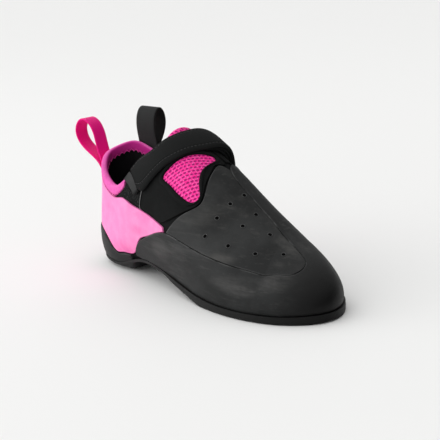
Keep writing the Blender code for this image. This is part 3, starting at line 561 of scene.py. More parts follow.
def from_chart(places: Array) -> Pair:
    """Reads s and w back from flat places.

    Args:
        places: flat places.

    Returns:
        Stations and places across.
    """
    ahead, side = places[..., 0], places[..., 1]
    strip = ahead < 0
    reach = np.hypot(ahead, side)
    turn = np.abs(np.arctan2(side, np.maximum(ahead, 0.0)))
    s = np.where(strip, TOE_POLE + ahead / CHART_STRETCH, 1.0 - turn / (np.pi / 2.0) * (1.0 - TOE_POLE))
    return s, np.where(strip, side, np.where(side < 0, -reach, reach))


class ChartCurve:
    """A smooth line drawn on the last through a table's rows."""

    def __init__(self, rows: Sequence, names: Sequence[str], edge: str = "", first: float = 0.0,
                 last: float | None = None, inset: float = 0.0, closed: bool = False) -> None:
        """Fits the line.

        Args:
            rows: the table's rows.
            names: its columns' names.
            edge: what its columns s and w begin with.
            first: the row where the line starts.
            last: the row where it ends, or None for the last.
            inset: how far to move the line aside, in metres.
            closed: whether the line is a ring.
        """
        places = to_chart(column(rows, names, edge + "s"), column(rows, names, edge + "w"))
        table = Curves(places, ("ahead", "side"), closed)
        self.curves = list(table.curves.values())
        self.first, self.last = first, table.last if last is None else last
        self.inset = inset * CHART_UNIT

    def places(self, t: Array) -> Array:
        """Reads flat places along the line.

        Args:
            t: shares of the line from 0 to 1.

        Returns:
            Flat places.
        """
        at = self.first + (self.last - self.first) * np.asarray(t, float)
        line = np.stack([curve(at) for curve in self.curves], -1)
        run = unit(np.stack([curve(at + 0.01) - curve(at - 0.01) for curve in self.curves], -1))
        return line + np.stack([-run[..., 1], run[..., 0]], -1) * self.inset

    def on_last(self, t: Array) -> Pair:
        """Reads s and w along the line, at shares of it from 0 to 1."""
        return from_chart(self.places(t))


def hex_colour(code: str) -> tuple[float, float, float, float]:
    """Turns an sRGB code into the linear colour that Blender's sockets take.

    Args:
        code: six hex digits after a hash sign.

    Returns:
        Red, green, blue and alpha.
    """
    parts = [int(code[i:i + 2], 16) / 255.0 for i in (1, 3, 5)]
    linear = [p / 12.92 if p <= 0.04045 else ((p + 0.055) / 1.055) ** 2.4 for p in parts]
    return (*linear, 1.0)


def add_node(tree: NodeTree, kind: str, inputs: dict | None = None, **settings) -> Node:
    """Adds one node to a tree, with its settings, and its sockets set or linked.

    Args:
        tree: the node tree.
        kind: the node's type.
        inputs: values or sockets to link, by the input's name or number.
        settings: properties of the node.

    Returns:
        The node.
    """
    node = tree.nodes.new(kind)
    for name, value in settings.items():
        setattr(node, name, value)
    for name, value in (inputs or {}).items():
        socket = node.inputs[name]
        if isinstance(value, NodeSocket):
            tree.links.new(value, socket)
        else:
            socket.default_value = value
    return node


def stand(name: str, data: ID) -> Object:
    """Puts a mesh, a light or a camera in the scene."""
    thing = bpy.data.objects.new(name, data)
    bpy.context.collection.objects.link(thing)
    return thing


class Field:
    """A number that varies over a surface, with arithmetic that adds Math nodes."""

    def __init__(self, tree: NodeTree, socket: NodeSocket) -> None:
        """Wraps an output socket of a node tree."""
        self.tree, self.socket = tree, socket

    def math(self, operation: str, *others: "Field | float", clamp: bool = False) -> "Field":
        """Adds one Math node.

        Args:
            operation: Blender's name of the operation.
            others: the other inputs.
            clamp: whether the result stays from 0 to 1.

        Returns:
            The result.
        """
        values = [other.socket if isinstance(other, Field) else float(other) for other in others]
        inputs = dict(enumerate([self.socket, *values]))
        node = add_node(self.tree, "ShaderNodeMath", inputs, operation=operation, use_clamp=clamp)
        return Field(self.tree, node.outputs[0])

    def __add__(self, other: "Field | float") -> "Field":
        """Adds."""
        return self.math("ADD", other)

    def __sub__(self, other: "Field | float") -> "Field":
        """Subtracts."""
        return self.math("SUBTRACT", other)

    def __mul__(self, other: "Field | float") -> "Field":
        """Multiplies."""
        return self.math("MULTIPLY", other)

    def fraction(self) -> "Field":
        """Returns the part after the decimal point."""
        return self.math("FRACT")

    def wave(self, pitch: float) -> "Field":
        """Makes a wave from 0 to 1, with its pitch in the field's own unit."""
        return (self * (2.0 * math.pi / pitch)).math("SINE") * 0.5 + 0.5

    def ease(self, low: float, high: float) -> "Field":
        """Eases the field from 0 at low to 1 at high.

        Args:
            low: where the ease starts.
            high: where it ends.

        Returns:
            The eased field.
        """
        ramp = {"Value": self.socket, "From Min": low, "From Max": high}
        node = add_node(self.tree, "ShaderNodeMapRange", ramp, interpolation_type="SMOOTHSTEP")
        return Field(self.tree, node.outputs["Result"])


@dataclass(frozen=True)
class Finish:
    """How a material answers light, the same all over."""

    roughness: float = 0.7
    specular: float = 0.5
    sheen: float = 0.0
    sheen_roughness: float = 0.5
    sheen_tint: str = "#ffffff"
    coat: float = 0.0
    coat_roughness: float = 0.3
    slot: str = "rand_rubber"


class Paint:
    """One material in the making: coordinates in millimetres, noise, mixes and relief."""

    def __init__(self, name: str, finish: Finish) -> None:
        """Starts a material.

        Args:
            name: the material's name.
            finish: how it answers light.
        """
        self.material = bpy.data.materials.new(name)
        self.material.use_nodes = True
        self.tree = self.material.node_tree
        self.shader = self.tree.nodes["Principled BSDF"]
        self.finish = finish
        self.coordinates = add_node(self.tree, "ShaderNodeTexCoord")
        constants = {"Roughness": finish.roughness, "Specular IOR Level": finish.specular,
                     "Sheen Weight": finish.sheen, "Sheen Roughness": finish.sheen_roughness,
                     "Sheen Tint": hex_colour(finish.sheen_tint), "Coat Weight": finish.coat,
                     "Coat Roughness": finish.coat_roughness}
        for name, value in constants.items():
            self.shader.inputs[name].default_value = value
        self.relief: list[tuple[Field, float]] = []

    def cloth_axes(self) -> tuple[Field, Field]:
        """Reads the piece's own lengthwise and crosswise places, in millimetres."""
        split = add_node(self.tree, "ShaderNodeSeparateXYZ", {0: self.coordinates.outputs["UV"]})
        return Field(self.tree, split.outputs["X"]), Field(self.tree, split.outputs["Y"])

    def measure(self, direction: Place) -> Field:
        """Measures places along a direction.

        Args:
            direction: a unit vector.

        Returns:
            Millimetres from the origin.
        """
        inputs = {0: self.coordinates.outputs["Object"], 1: direction}
        node = add_node(self.tree, "ShaderNodeVectorMath", inputs, operation="DOT_PRODUCT")
        return Field(self.tree, node.outputs["Value"]) * (1.0 / MM)

    def near_edge(self, width: float) -> Field:
        """Returns 1 at the piece's edge and 0 further in than the width, in millimetres."""
        node = add_node(self.tree, "ShaderNodeAttribute", attribute_name="edge")
        return Field(self.tree, node.outputs["Fac"]).ease(width, 0.25 * width)

    def placed(self, place: Place, scale: Place) -> NodeSocket:
        """Returns the piece's coordinates, scaled and then moved."""
        inputs = {"Vector": self.coordinates.outputs["Object"], "Location": place, "Scale": scale}
        return add_node(self.tree, "ShaderNodeMapping", inputs).outputs[0]

    def spot(self, centre: Place, size: Place) -> Field:
        """Finds a soft spot on the shoe.

        Args:
            centre: its centre in metres.
            size: its half sizes in metres.

        Returns:
            1 in its middle, 0 outside.
        """
        scale = tuple(1.0 / part for part in size)
        place = tuple(-part / half for part, half in zip(centre, size))
        around = {0: self.placed(place, scale)}
        length = add_node(self.tree, "ShaderNodeVectorMath", around, operation="LENGTH")
        return Field(self.tree, length.outputs["Value"]).ease(1.0, 0.25)

    def noise(self, size: float, detail: float = 2.0, stretch: Sequence[float] = (1.0, 1.0, 1.0),
              seed: float = 0.0, rough: float = 0.5) -> Field:
        """Makes soft noise.

        Args:
            size: the size of its lumps, in millimetres.
            detail: how many finer layers it has.
            stretch: how much shorter the lumps are along each axis.
            seed: shifts the pattern.
            rough: how strong the finer layers are.

        Returns:
            Values from 0 to 1.
        """
        place = self.placed((seed, seed * 0.7, seed * 1.3), tuple(part / (size * MM) for part in stretch))
        look = {"Vector": place, "Scale": 1.0, "Detail": detail, "Roughness": rough}
        return Field(self.tree, add_node(self.tree, "ShaderNodeTexNoise", look).outputs["Fac"])

    def mix(self, share: Field, first: str | NodeSocket, second: str | NodeSocket) -> NodeSocket:
        """Mixes two colours.

        Args:
            share: how much of the second shows.
            first: a colour code or a colour socket.
            second: a colour code or a colour socket.

        Returns:
            The mixed colour.
        """
        colours = [hex_colour(c) if isinstance(c, str) else c for c in (first, second)]
        inputs = {0: share.socket, 6: colours[0], 7: colours[1]}
        return add_node(self.tree, "ShaderNodeMix", inputs, data_type="RGBA").outputs[2]

    def raise_by(self, height: Field, millimetres: float) -> None:
        """Adds relief: its shape from 0 to 1, and its depth in millimetres."""
        self.relief.append((height, millimetres))

    def done(self, colour: str | NodeSocket, roughness: Field | None = None) -> Material:
        """Joins colour, roughness and relief to the shader.

        Args:
            colour: the colour.
            roughness: the roughness, where it varies.

        Returns:
            The material.
        """
        if isinstance(colour, str):
            self.shader.inputs["Base Color"].default_value = hex_colour(colour)
        else:
            self.tree.links.new(colour, self.shader.inputs["Base Color"])
        if roughness is not None:
            self.tree.links.new(roughness.socket, self.shader.inputs["Roughness"])
        below = {}
        for height, depth in self.relief:
            inputs = {"Height": height.socket, "Distance": depth * MM, "Strength": 1.0, **below}
            below = {"Normal": add_node(self.tree, "ShaderNodeBump", inputs).outputs["Normal"]}
        if below:
            self.tree.links.new(below["Normal"], self.shader.inputs["Normal"])
        self.material["slot"] = self.finish.slot
        return self.material


class Form:
    """Turns a grid of points into one smooth piece that rides on the shoe."""

    @staticmethod
    def piece(name: str, points: Array, material: Material, places: Array | None = None, ring: bool = False,
              solid: bool = False, flip: bool = False, sharp: float = 38.0, edge: Array | None = None,
              node: str = "") -> Object:
        """Makes the mesh object.

        Args:
            name: the piece's name.
            points: a grid of points, along by across.
            material: its material.
            places: the piece's own flat places, in millimetres, or None to measure them.
            ring: whether the last row leads back to the first.
            solid: whether the last column leads back to the first, with both ends filled.
            flip: whether the faces turn over.
            sharp: the angle above which an edge stays sharp, in degrees.
            edge: each point's distance from the piece's edge in millimetres, or None far from any.
            node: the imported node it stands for, if any.

        Returns:
            The object.
        """
        rows, columns = points.shape[:2]
        if places is None:
            places = Form.measure(points)
        index = np.arange(rows * columns).reshape(rows, columns)
        if ring:
            index[-1] = index[0]
        if solid:
            index[:, -1] = index[:, 0]
        own = np.arange(rows * columns).reshape(rows, columns)
        faces, uses = ([grid[:-1, :-1], grid[1:, :-1], grid[1:, 1:], grid[:-1, 1:]] for grid in (index, own))
        if flip:
            faces, uses = faces[::-1], uses[::-1]
        faces, uses = (np.stack([corner.ravel() for corner in quad], -1) for quad in (faces, uses))
        mesh = bpy.data.meshes.new(name)
        mesh.from_pydata(points.reshape(-1, 3).tolist(), [], faces.tolist())
        layer = mesh.uv_layers.new(name="places")
        layer.data.foreach_set("uv", places.reshape(-1, 2)[uses.ravel()].astype(np.float32).ravel())
        margin = np.full(rows * columns, FAR_FROM_EDGE) if edge is None else edge.reshape(-1)
        mesh.attributes.new("edge", "FLOAT", "POINT").data.foreach_set("value", margin.astype(np.float32))
        data = bmesh.new()
        data.from_mesh(mesh)
        if solid:
            data.verts.ensure_lookup_table()
            for end in (index[0, :-1], index[-1, :-1]):
                data.faces.new([data.verts[k] for k in end])
        bmesh.ops.remove_doubles(data, verts=data.verts, dist=2.0e-6)
        loose = [vert for vert in data.verts if not vert.link_faces]
        bmesh.ops.delete(data, geom=loose, context="VERTS")
        if solid:
            bmesh.ops.recalc_face_normals(data, faces=data.faces)
        data.to_mesh(mesh)
        data.free()
        mesh.materials.append(material)
        mesh.shade_smooth()
        mesh.set_sharp_from_angle(angle=math.radians(sharp))
        thing = stand(name, mesh)
        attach(thing, BODY)
        if node:
            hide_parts(node)
        return thing

    @staticmethod
    def measure(points: Array) -> Array:
        """Measures flat places over a grid: lengths along its rows and columns.

        Args:
            points: a grid of points.

        Returns:
            Places in millimetres.
        """
        rows, columns = points.shape[:2]
        middle = points[:, columns // 2]
        along = np.concatenate([[0.0], np.cumsum(np.linalg.norm(np.diff(middle, axis=0), axis=-1))])
        steps = np.linalg.norm(np.diff(points, axis=1), axis=-1)
        across = np.concatenate([np.zeros((rows, 1)), np.cumsum(steps, axis=1)], axis=1)
        across = across - across[:, columns // 2][:, None]
        return np.stack([np.broadcast_to(along[:, None], (rows, columns)), across], -1) / MM


def crowd(length: Array, count: int, radius: float) -> Array:
    """Spreads shares from 0 to 1 that crowd at both ends, where an edge is rounded.

    Args:
        length: each line's length in metres.
        count: how many shares lie between the rounded edges.
        radius: the rounding's width in metres.

    Returns:
        Shares, a row for each length.
    """
    rim = np.minimum(radius / np.maximum(length, 1.0e-6), 0.32)[:, None]
    start = rim * np.array([0.0, 0.0, 0.10, 0.34, 0.66])
    middle = rim + (1.0 - 2.0 * rim) * np.linspace(0.0, 1.0, count)
    return np.concatenate([start, middle, 1.0 - start[:, ::-1]], axis=1)


@dataclass
class Blanket:
    """A sheet on the last, rounded at its edges, with a skirt down to what carries it."""

    name: str
    places: Callable[[Array, Array], Pair]
    material: Material
    last: Last
    thickness: float
    radius: float = 0.9 * MM
    step: float = 0.45
    along: int = 120
    across: int = 30
    closed: bool = False
    relief: Callable[..., Array] | None = None
    sink: float = 0.35 * MM

    def build(self, node: str = "") -> Object:
        """Builds the piece.

        Args:
            node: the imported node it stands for, if any.

        Returns:
            The object.
        """
        rough = np.linspace(0.0, 1.0, 40)
        line = self.last.on(*self.places(rough, np.full_like(rough, 0.5)))
        length = np.array([np.linalg.norm(np.diff(line, axis=0), axis=-1).sum()])
        if self.closed:
            t = np.linspace(0.0, 1.0, self.along + 1)
            edge_t = np.ones_like(t)
        else:
            t = crowd(length, self.along, self.radius)[0]
            edge_t = np.minimum(t, 1.0 - t) * length[0]
        grid = np.meshgrid(t, np.linspace(0.0, 1.0, 16), indexing="ij")
        widths = np.linalg.norm(np.diff(self.last.on(*self.places(*grid)), axis=1), axis=-1).sum(axis=1)
        u = crowd(np.maximum(widths, 0.4 * MM), self.across, self.radius)
        t_grid = np.broadcast_to(t[:, None], u.shape)
        edge = np.minimum(np.minimum(u, 1.0 - u) * widths[:, None], edge_t[:, None])
        round_off = 1.0 - np.clip(edge / self.radius, 0.0, 1.0)
        height = self.thickness * (self.step + (1.0 - self.step) * np.sqrt(1.0 - round_off**2))
        s, w = self.places(t_grid, u)
        if self.relief is not None:
            height = height + self.relief(s, w, t_grid, u, edge)
        height[:, 0] = height[:, -1] = -self.sink
        if not self.closed:
            height[0] = height[-1] = -self.sink
        points = self.last.on(s, w, height)
        places = np.stack([t_grid * length[0], (u - 0.5) * widths[:, None]], -1) / MM
        return Form.piece(self.name, points, self.material, places, ring=self.closed, edge=edge / MM,
                          node=node)


class Perforation(Enum):
    """The two parts of a punched hole."""

    FLOOR = "floor"
    LIP = "lip"


class Repeat:
    """A Geometry Nodes tree that repeats something along points, and the plain piece that it makes."""

    def __init__(self, name: str, points: Array, aside: Array, material: Material, joined: bool = True,
                 **sizes: float) -> None:
        """Lays the bare points and starts the tree.

        Args:
            name: the piece's name.
            points: where the repeats go.
            aside: a vector at each point, across the line or out of the surface.
            material: the material of the result.
            joined: whether edges join the points to a line.
            sizes: the tree's named inputs, in metres.
        """
        mesh = bpy.data.meshes.new(name)
        edges = [(i, i + 1) for i in range(len(points) - 1)] if joined else []
        mesh.from_pydata(points.tolist(), edges, [])
        layer = mesh.attributes.new("aside", "FLOAT_VECTOR", "POINT")
        layer.data.foreach_set("vector", aside.astype(np.float32).ravel())
        self.thing = stand(name, mesh)
        self.material, self.sizes = material, sizes
        self.tree = bpy.data.node_groups.new(name, "GeometryNodeTree")
        sockets = self.tree.interface
        sockets.new_socket("Geometry", in_out="INPUT", socket_type="NodeSocketGeometry")
        for label, value in sizes.items():
            sockets.new_socket(label, in_out="INPUT", socket_type="NodeSocketFloat").default_value = value
        sockets.new_socket("Geometry", in_out="OUTPUT", socket_type="NodeSocketGeometry")
        self.inputs = add_node(self.tree, "NodeGroupInput").outputs

    def add(self, kind: str, inputs: dict | None = None, **settings) -> NodeSocket:
        """Adds a node and returns its first output."""
        return add_node(self.tree, kind, inputs, **settings).outputs[0]

    def math(self, operation: str, first: NodeSocket, second: NodeSocket | float) -> NodeSocket:
        """Adds a Math node and returns its result."""
        return self.add("ShaderNodeMath", {0: first, 1: second}, operation=operation)

    def curve(self) -> NodeSocket:
        """Returns the bare line as a curve."""
        return self.add("GeometryNodeMeshToCurve", {0: self.inputs["Geometry"]})

    def aside(self) -> NodeSocket:
        """Returns the vector that each point keeps."""
        return self.add("GeometryNodeInputNamedAttribute", {"Name": "aside"}, data_type="FLOAT_VECTOR")

    def circle(self, radius: str, sides: int) -> NodeSocket:
        """Returns a circle whose radius is a named input."""
        inputs = {"Resolution": sides, "Radius": self.inputs[radius]}
        return self.add("GeometryNodeCurvePrimitiveCircle", inputs)

    def tube(self, curve: NodeSocket, radius: str, sides: int, capped: bool = True) -> NodeSocket:
        """Sweeps a circle along a curve."""
        inputs = {"Curve": curve, "Profile Curve": self.circle(radius, sides), "Fill Caps": capped}
        return self.add("GeometryNodeCurveToMesh", inputs)

    def finish(self, result: NodeSocket) -> Object:
        """Ends the tree, runs it and keeps what it makes as a plain mesh.

        Args:
            result: the tree's last output.

        Returns:
            The piece.
        """
        real = self.add("GeometryNodeRealizeInstances", {0: result})
        painted = self.add("GeometryNodeSetMaterial", {"Geometry": real, "Material": self.material})
        add_node(self.tree, "NodeGroupOutput", {0: painted})
        modifier = self.thing.modifiers.new(self.tree.name, "NODES")
        modifier.node_group = self.tree
        for item in self.tree.interface.items_tree:
            if item.in_out == "INPUT" and item.name in self.sizes:
                modifier[item.identifier] = self.sizes[item.name]
        bpy.context.view_layer.update()
        graph = bpy.context.evaluated_depsgraph_get()
        mesh = bpy.data.meshes.new_from_object(self.thing.evaluated_get(graph))
        self.thing.modifiers.remove(modifier)
        self.thing.data = mesh
        mesh.name = self.thing.name
        mesh.shade_smooth()
        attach(self.thing, BODY)
        return self.thing

    @classmethod
    def zigzag(cls, name: str, points: Array, aside: Array, material: Material) -> Object:
        """Sews a zigzag thread along a line.

        Args:
            name: the piece's name.
            points: the line's points.
            aside: the direction across it at each point.
            material: the thread's material.

        Returns:
            The piece.
        """
        seam = cls(name, points, aside, material, Pitch=1.9 * MM, Width=2.0 * MM, Thread=0.28 * MM)
        line = {"Curve": seam.curve(), "Length": seam.inputs["Pitch"]}
        corners = seam.add("GeometryNodeResampleCurve", line, mode="LENGTH")
        odd = seam.math("MODULO", seam.add("GeometryNodeInputIndex"), 2.0)
        reach = seam.math("MULTIPLY", seam.math("SUBTRACT", odd, 0.5), seam.inputs["Width"])
        shift = seam.add("ShaderNodeVectorMath", {0: seam.aside(), "Scale": reach}, operation="SCALE")
        moved = seam.add("GeometryNodeSetPosition", {"Geometry": corners, "Offset": shift})
        return seam.finish(seam.tube(moved, "Thread", 6))

    @classmethod
    def stitches(cls, name: str, points: Array, aside: Array, material: Material) -> Object:
        """Sews a row of straight stitches along a line.

        Args:
            name: the piece's name.
            points: the line's points.
            aside: the direction across it at each point.
            material: the thread's material.

        Returns:
            The piece.
        """
        seam = cls(name, points, aside, material, Pitch=2.4 * MM, Thread=0.24 * MM)
        line = {"Curve": seam.curve(), "Length": seam.inputs["Pitch"]}
        dots = add_node(seam.tree, "GeometryNodeCurveToPoints", line, mode="LENGTH").outputs
        half = seam.math("MULTIPLY", seam.inputs["Pitch"], STITCH_HALF_SHARE)
        ball = seam.add("GeometryNodeMeshUVSphere", {"Segments": 8, "Rings": 5, "Radius": 1.0})
        thread = seam.inputs["Thread"]
        size = seam.add("ShaderNodeCombineXYZ", {"X": thread, "Y": thread, "Z": half})
        return seam.finish(seam.add("GeometryNodeInstanceOnPoints", {
            "Points": dots["Points"], "Instance": ball, "Rotation": dots["Rotation"], "Scale": size}))

    @classmethod
    def perforations(cls, name: str, centres: Array, outward: Array, shape: Perforation,
                     material: Material) -> Object:
        """Punches holes: the dark floor of each, a disc of painted shade over the black beneath, or the lip
        round it.

        Args:
            name: the piece's name.
            centres: the holes' centres on the surface.
            outward: the surface's normals there.
            shape: which part of the hole to make.
            material: its material.

        Returns:
            The piece.
        """
        holes = cls(name, centres, outward, material, joined=False, Radius=VENT_RADIUS, Rim=0.22 * MM)
        if shape is Perforation.FLOOR:
            part = holes.add("GeometryNodeMeshCircle", {"Vertices": 20, "Radius": holes.inputs["Radius"]},
                             fill_type="NGON")
        else:
            part = holes.tube(holes.circle("Radius", 24), "Rim", 8, capped=False)
        turn = holes.add("FunctionNodeAlignRotationToVector", {"Vector": holes.aside()}, axis="Z")
        return holes.finish(holes.add("GeometryNodeInstanceOnPoints", {
            "Points": holes.inputs["Geometry"], "Instance": part, "Rotation": turn}))

    @classmethod
    def piping(cls, name: str, points: Array, material: Material) -> Object:
        """Lays a round piping along a line."""
        cord = cls(name, points, np.zeros_like(points), material, Radius=0.45 * MM)
        return cord.finish(cord.tube(cord.curve(), "Radius", 10))


@dataclass(frozen=True)
class ClimbingRubber:
    """Moulded climbing rubber, ground and used: matt, cloudy, dusty, finely scuffed, its edge paled by wear
    and a painted highlight.

    Its gloss is weak and broad, so black turns grey where it faces the light. Marks are the dustiest
    places, painted shade marks the spots darkened for shade, and the edge weight how far wear and a painted
    highlight pale the rim.
    """

    name: str
    dark: str
    light: str
    dust: str
    seed: float
    marks: Marks = ()
    painted_shade_marks: Marks = ()
    rub: float = 0.0
    slot: str = "rand_rubber"

    def make(self) -> Material:
        """Makes the material.

        Returns:
            The material.
        """
        paint, seed, dust = Paint(self.name, Finish(0.6, 0.16, slot=self.slot)), self.seed, self.dust
        clouds = paint.noise(34.0, 4.0, seed=seed, rough=0.6).ease(0.38, 0.72)
        smears = paint.noise(24.0, 5.0, (0.30, 1.0, 1.8), seed + 4.0, rough=0.68)
        specks = paint.noise(2.2, 3.0, seed=seed + 9.0).ease(0.60, 0.80)
        streaks = paint.noise(6.0, 4.0, (0.22, 1.0, 3.0), seed + 14.0, rough=0.7).ease(0.54, 0.74)
        colour = paint.mix(clouds, self.dark, self.light)
        colour = paint.mix(smears.ease(0.52, 0.78) * 0.5, colour, dust)
        for centre, size, weight in self.marks:
            colour = paint.mix(paint.spot(centre, size) * smears.ease(0.30, 0.62) * weight, colour, dust)
        colour = paint.mix(specks * 0.16, colour, dust)
        colour = paint.mix(streaks * 0.34, colour, dust)
        # Painted shade: darkens the rubber towards black in the given spots, where little light falls
        for centre, size, weight in self.painted_shade_marks:
            colour = paint.mix(paint.spot(centre, size) * weight, colour, "#060606")
        if self.rub:
            # Paler rim along the edge: partly wear, partly painted highlight
            worn_and_highlit_edge = paint.near_edge(0.9) * paint.noise(9.0, 3.0, seed=seed + 20.0).ease(0.35, 0.65)
            colour = paint.mix(worn_and_highlit_edge * self.rub, colour, "#5a5a5a")
        paint.raise_by(paint.noise(9.0, 3.0, (0.5, 1.0, 1.0), seed + 2.0), 0.16)
        paint.raise_by(streaks, -0.03)
        paint.raise_by(paint.noise(0.55, 2.0, seed=seed + 6.0), 0.035)
        return paint.done(colour, clouds * 0.10 + streaks * 0.12 + 0.48)


@dataclass(frozen=True)
class Suede:
    """Sanded microfibre: a short nap that scatters light softly, a few stains, and darker along its edge."""

    name: str
    base: str
    dark: str
    light: str
    rim: str
    slot: str
    marks: Marks = ()

    def make(self) -> Material:
        """Makes the material.

        Returns:
            The material.
        """
        paint = Paint(self.name, Finish(0.92, 0.1, sheen=0.12, sheen_roughness=0.6, sheen_tint=self.light,
                                        slot=self.slot))
        stains = paint.noise(17.0, 4.0, seed=2.0, rough=0.6)
        nap = paint.noise(7.0, 3.0, seed=5.0).ease(0.35, 0.70)
        grain = paint.noise(0.7, 2.0, seed=1.0)
        colour = paint.mix(nap * 0.35, self.base, self.light)
        colour = paint.mix(stains.ease(0.50, 0.74) * 0.45, colour, self.dark)
        for centre, size, weight in self.marks:
            colour = paint.mix(paint.spot(centre, size) * stains.ease(0.28, 0.60) * weight, colour, self.dark)
        colour = paint.mix(grain.ease(0.4, 0.75) * 0.16, colour, self.dark)
        colour = paint.mix(paint.near_edge(0.7) * 0.7, colour, self.rim)
        paint.raise_by(paint.noise(5.0, 2.0, seed=8.0), 0.12)
        paint.raise_by(grain, 0.06)
        return paint.done(colour)


@dataclass(frozen=True)
class Knit:
    """Fine ribbed knit: soft light on the ribs, shade between them. The binding's inner face is darkened by
    painted shade.
    """

    name: str
    light: str
    dark: str
    finish: Finish
    relief: tuple[float, float] = (0.10, 0.12)
    # The colour of painted shade on the inner face, if any
    inside: str | None = None

    def make(self) -> Material:
        """Makes the material.

        Returns:
            The material.
        """
        paint = Paint(self.name, self.finish)
        along, across = paint.cloth_axes()
        rib = along.wave(0.75) * across.wave(0.95)
        soft = paint.noise(4.0, 3.0, seed=3.0)
        colour = paint.mix((rib * 0.5 + soft * 0.5).ease(0.15, 0.65), self.dark, self.light)
        # Painted shade: darkens towards the inner face, inside the collar, where shade falls
        if self.inside is not None:
            colour = paint.mix(across.ease(-0.7, 1.6) * 0.93, colour, self.inside)
        paint.raise_by(rib, self.relief[0])
        paint.raise_by(soft, self.relief[1])
        return paint.done(colour)


@dataclass(frozen=True)
class Fleece:
    """Brushed stretch fabric: black, with pale lint standing off it."""

    name: str

    def make(self) -> Material:
        """Makes the material.

        Returns:
            The material.
        """
        paint = Paint(self.name, Finish(0.97, 0.1, sheen=0.15, sheen_tint="#3a3b3c", slot="stretch"))
        lint = paint.noise(0.45, 3.0, (1.0, 1.0, 0.35), seed=4.0).ease(0.56, 0.72)
        paint.raise_by(paint.noise(0.6, 3.0, seed=6.0), 0.22)
        return paint.done(paint.mix(lint * 0.85, "#101111", "#5a5a5c"))


@dataclass(frozen=True)
class Webbing:
    """Woven tape: fine slanting ribs with a silky shine, and painted shade on the face inside its loop."""

    name: str
    light: str
    dark: str
    slot: str
    roughness: float
    # How much painted shade darkens the face inside the loop
    inside: float = 0.0

    def make(self) -> Material:
        """Makes the material.

        Returns:
            The material.
        """
        paint = Paint(self.name, Finish(self.roughness, 0.12, 0.03, sheen_tint=self.light, slot=self.slot))
        along, across = paint.cloth_axes()
        twill = (along + across * 0.5).wave(0.62)
        yarn = across.wave(0.5)
        colour = paint.mix((twill * 0.6 + yarn * 0.4).ease(0.0, 0.55), self.dark, self.light)
        # Painted shade: the face inside the loop turns almost black, where shade falls
        if self.inside:
            colour = paint.mix(across.ease(-0.2, -0.8) * self.inside, colour, "#030303")
        paint.raise_by(twill, 0.07)
        paint.raise_by(yarn, 0.05)
        return paint.done(colour)


@dataclass(frozen=True)
class SpacerMesh:
    """Coarse spacer mesh: rows of puffed shiny yarn, with painted highlights, between small dark openings.

    Draped, its rows follow the piece. Otherwise they run level across the instep, as in the photo.
    """

    name: str
    draped: bool

    def make(self) -> Material:
        """Makes the material.

        Returns:
            The material.
        """
        paint = Paint(self.name, Finish(0.6, 0.2, sheen=0.05, sheen_tint="#ff8ad0", slot="lining"))
        level = (MESH_ALONG, MESH_ACROSS)
        along, across = paint.cloth_axes() if self.draped else [paint.measure(way) for way in level]
        row = across * (1.0 / MESH_ROW)
        odd = (row * 0.5).fraction().math("GREATER_THAN", 0.5)
        cell_x = ((along * (1.0 / MESH_CELL)) + odd * 0.5).fraction() - 0.5
        cell_y = row.fraction() - 0.5
        ring = ((cell_x * cell_x) * 4.5 + (cell_y * cell_y) * 9.0).math("SQRT")
        ring = ring + (paint.noise(1.6, 2.0, seed=7.0) - 0.5) * 0.6
        yarn = ring.ease(0.35, 1.05)
        painted_highlight_noise = paint.noise(0.8, 2.0, seed=2.0)
        colour = paint.mix(yarn, "#a2006a", "#f8108e")
        # Painted highlight: pale pink dabs on the yarn, where it would catch the light
        colour = paint.mix(yarn * painted_highlight_noise.ease(0.42, 0.68) * 0.75, colour, "#ff78c4")
        paint.raise_by(yarn, 0.7)
        paint.raise_by(painted_highlight_noise, 0.08)
        return paint.done(colour)


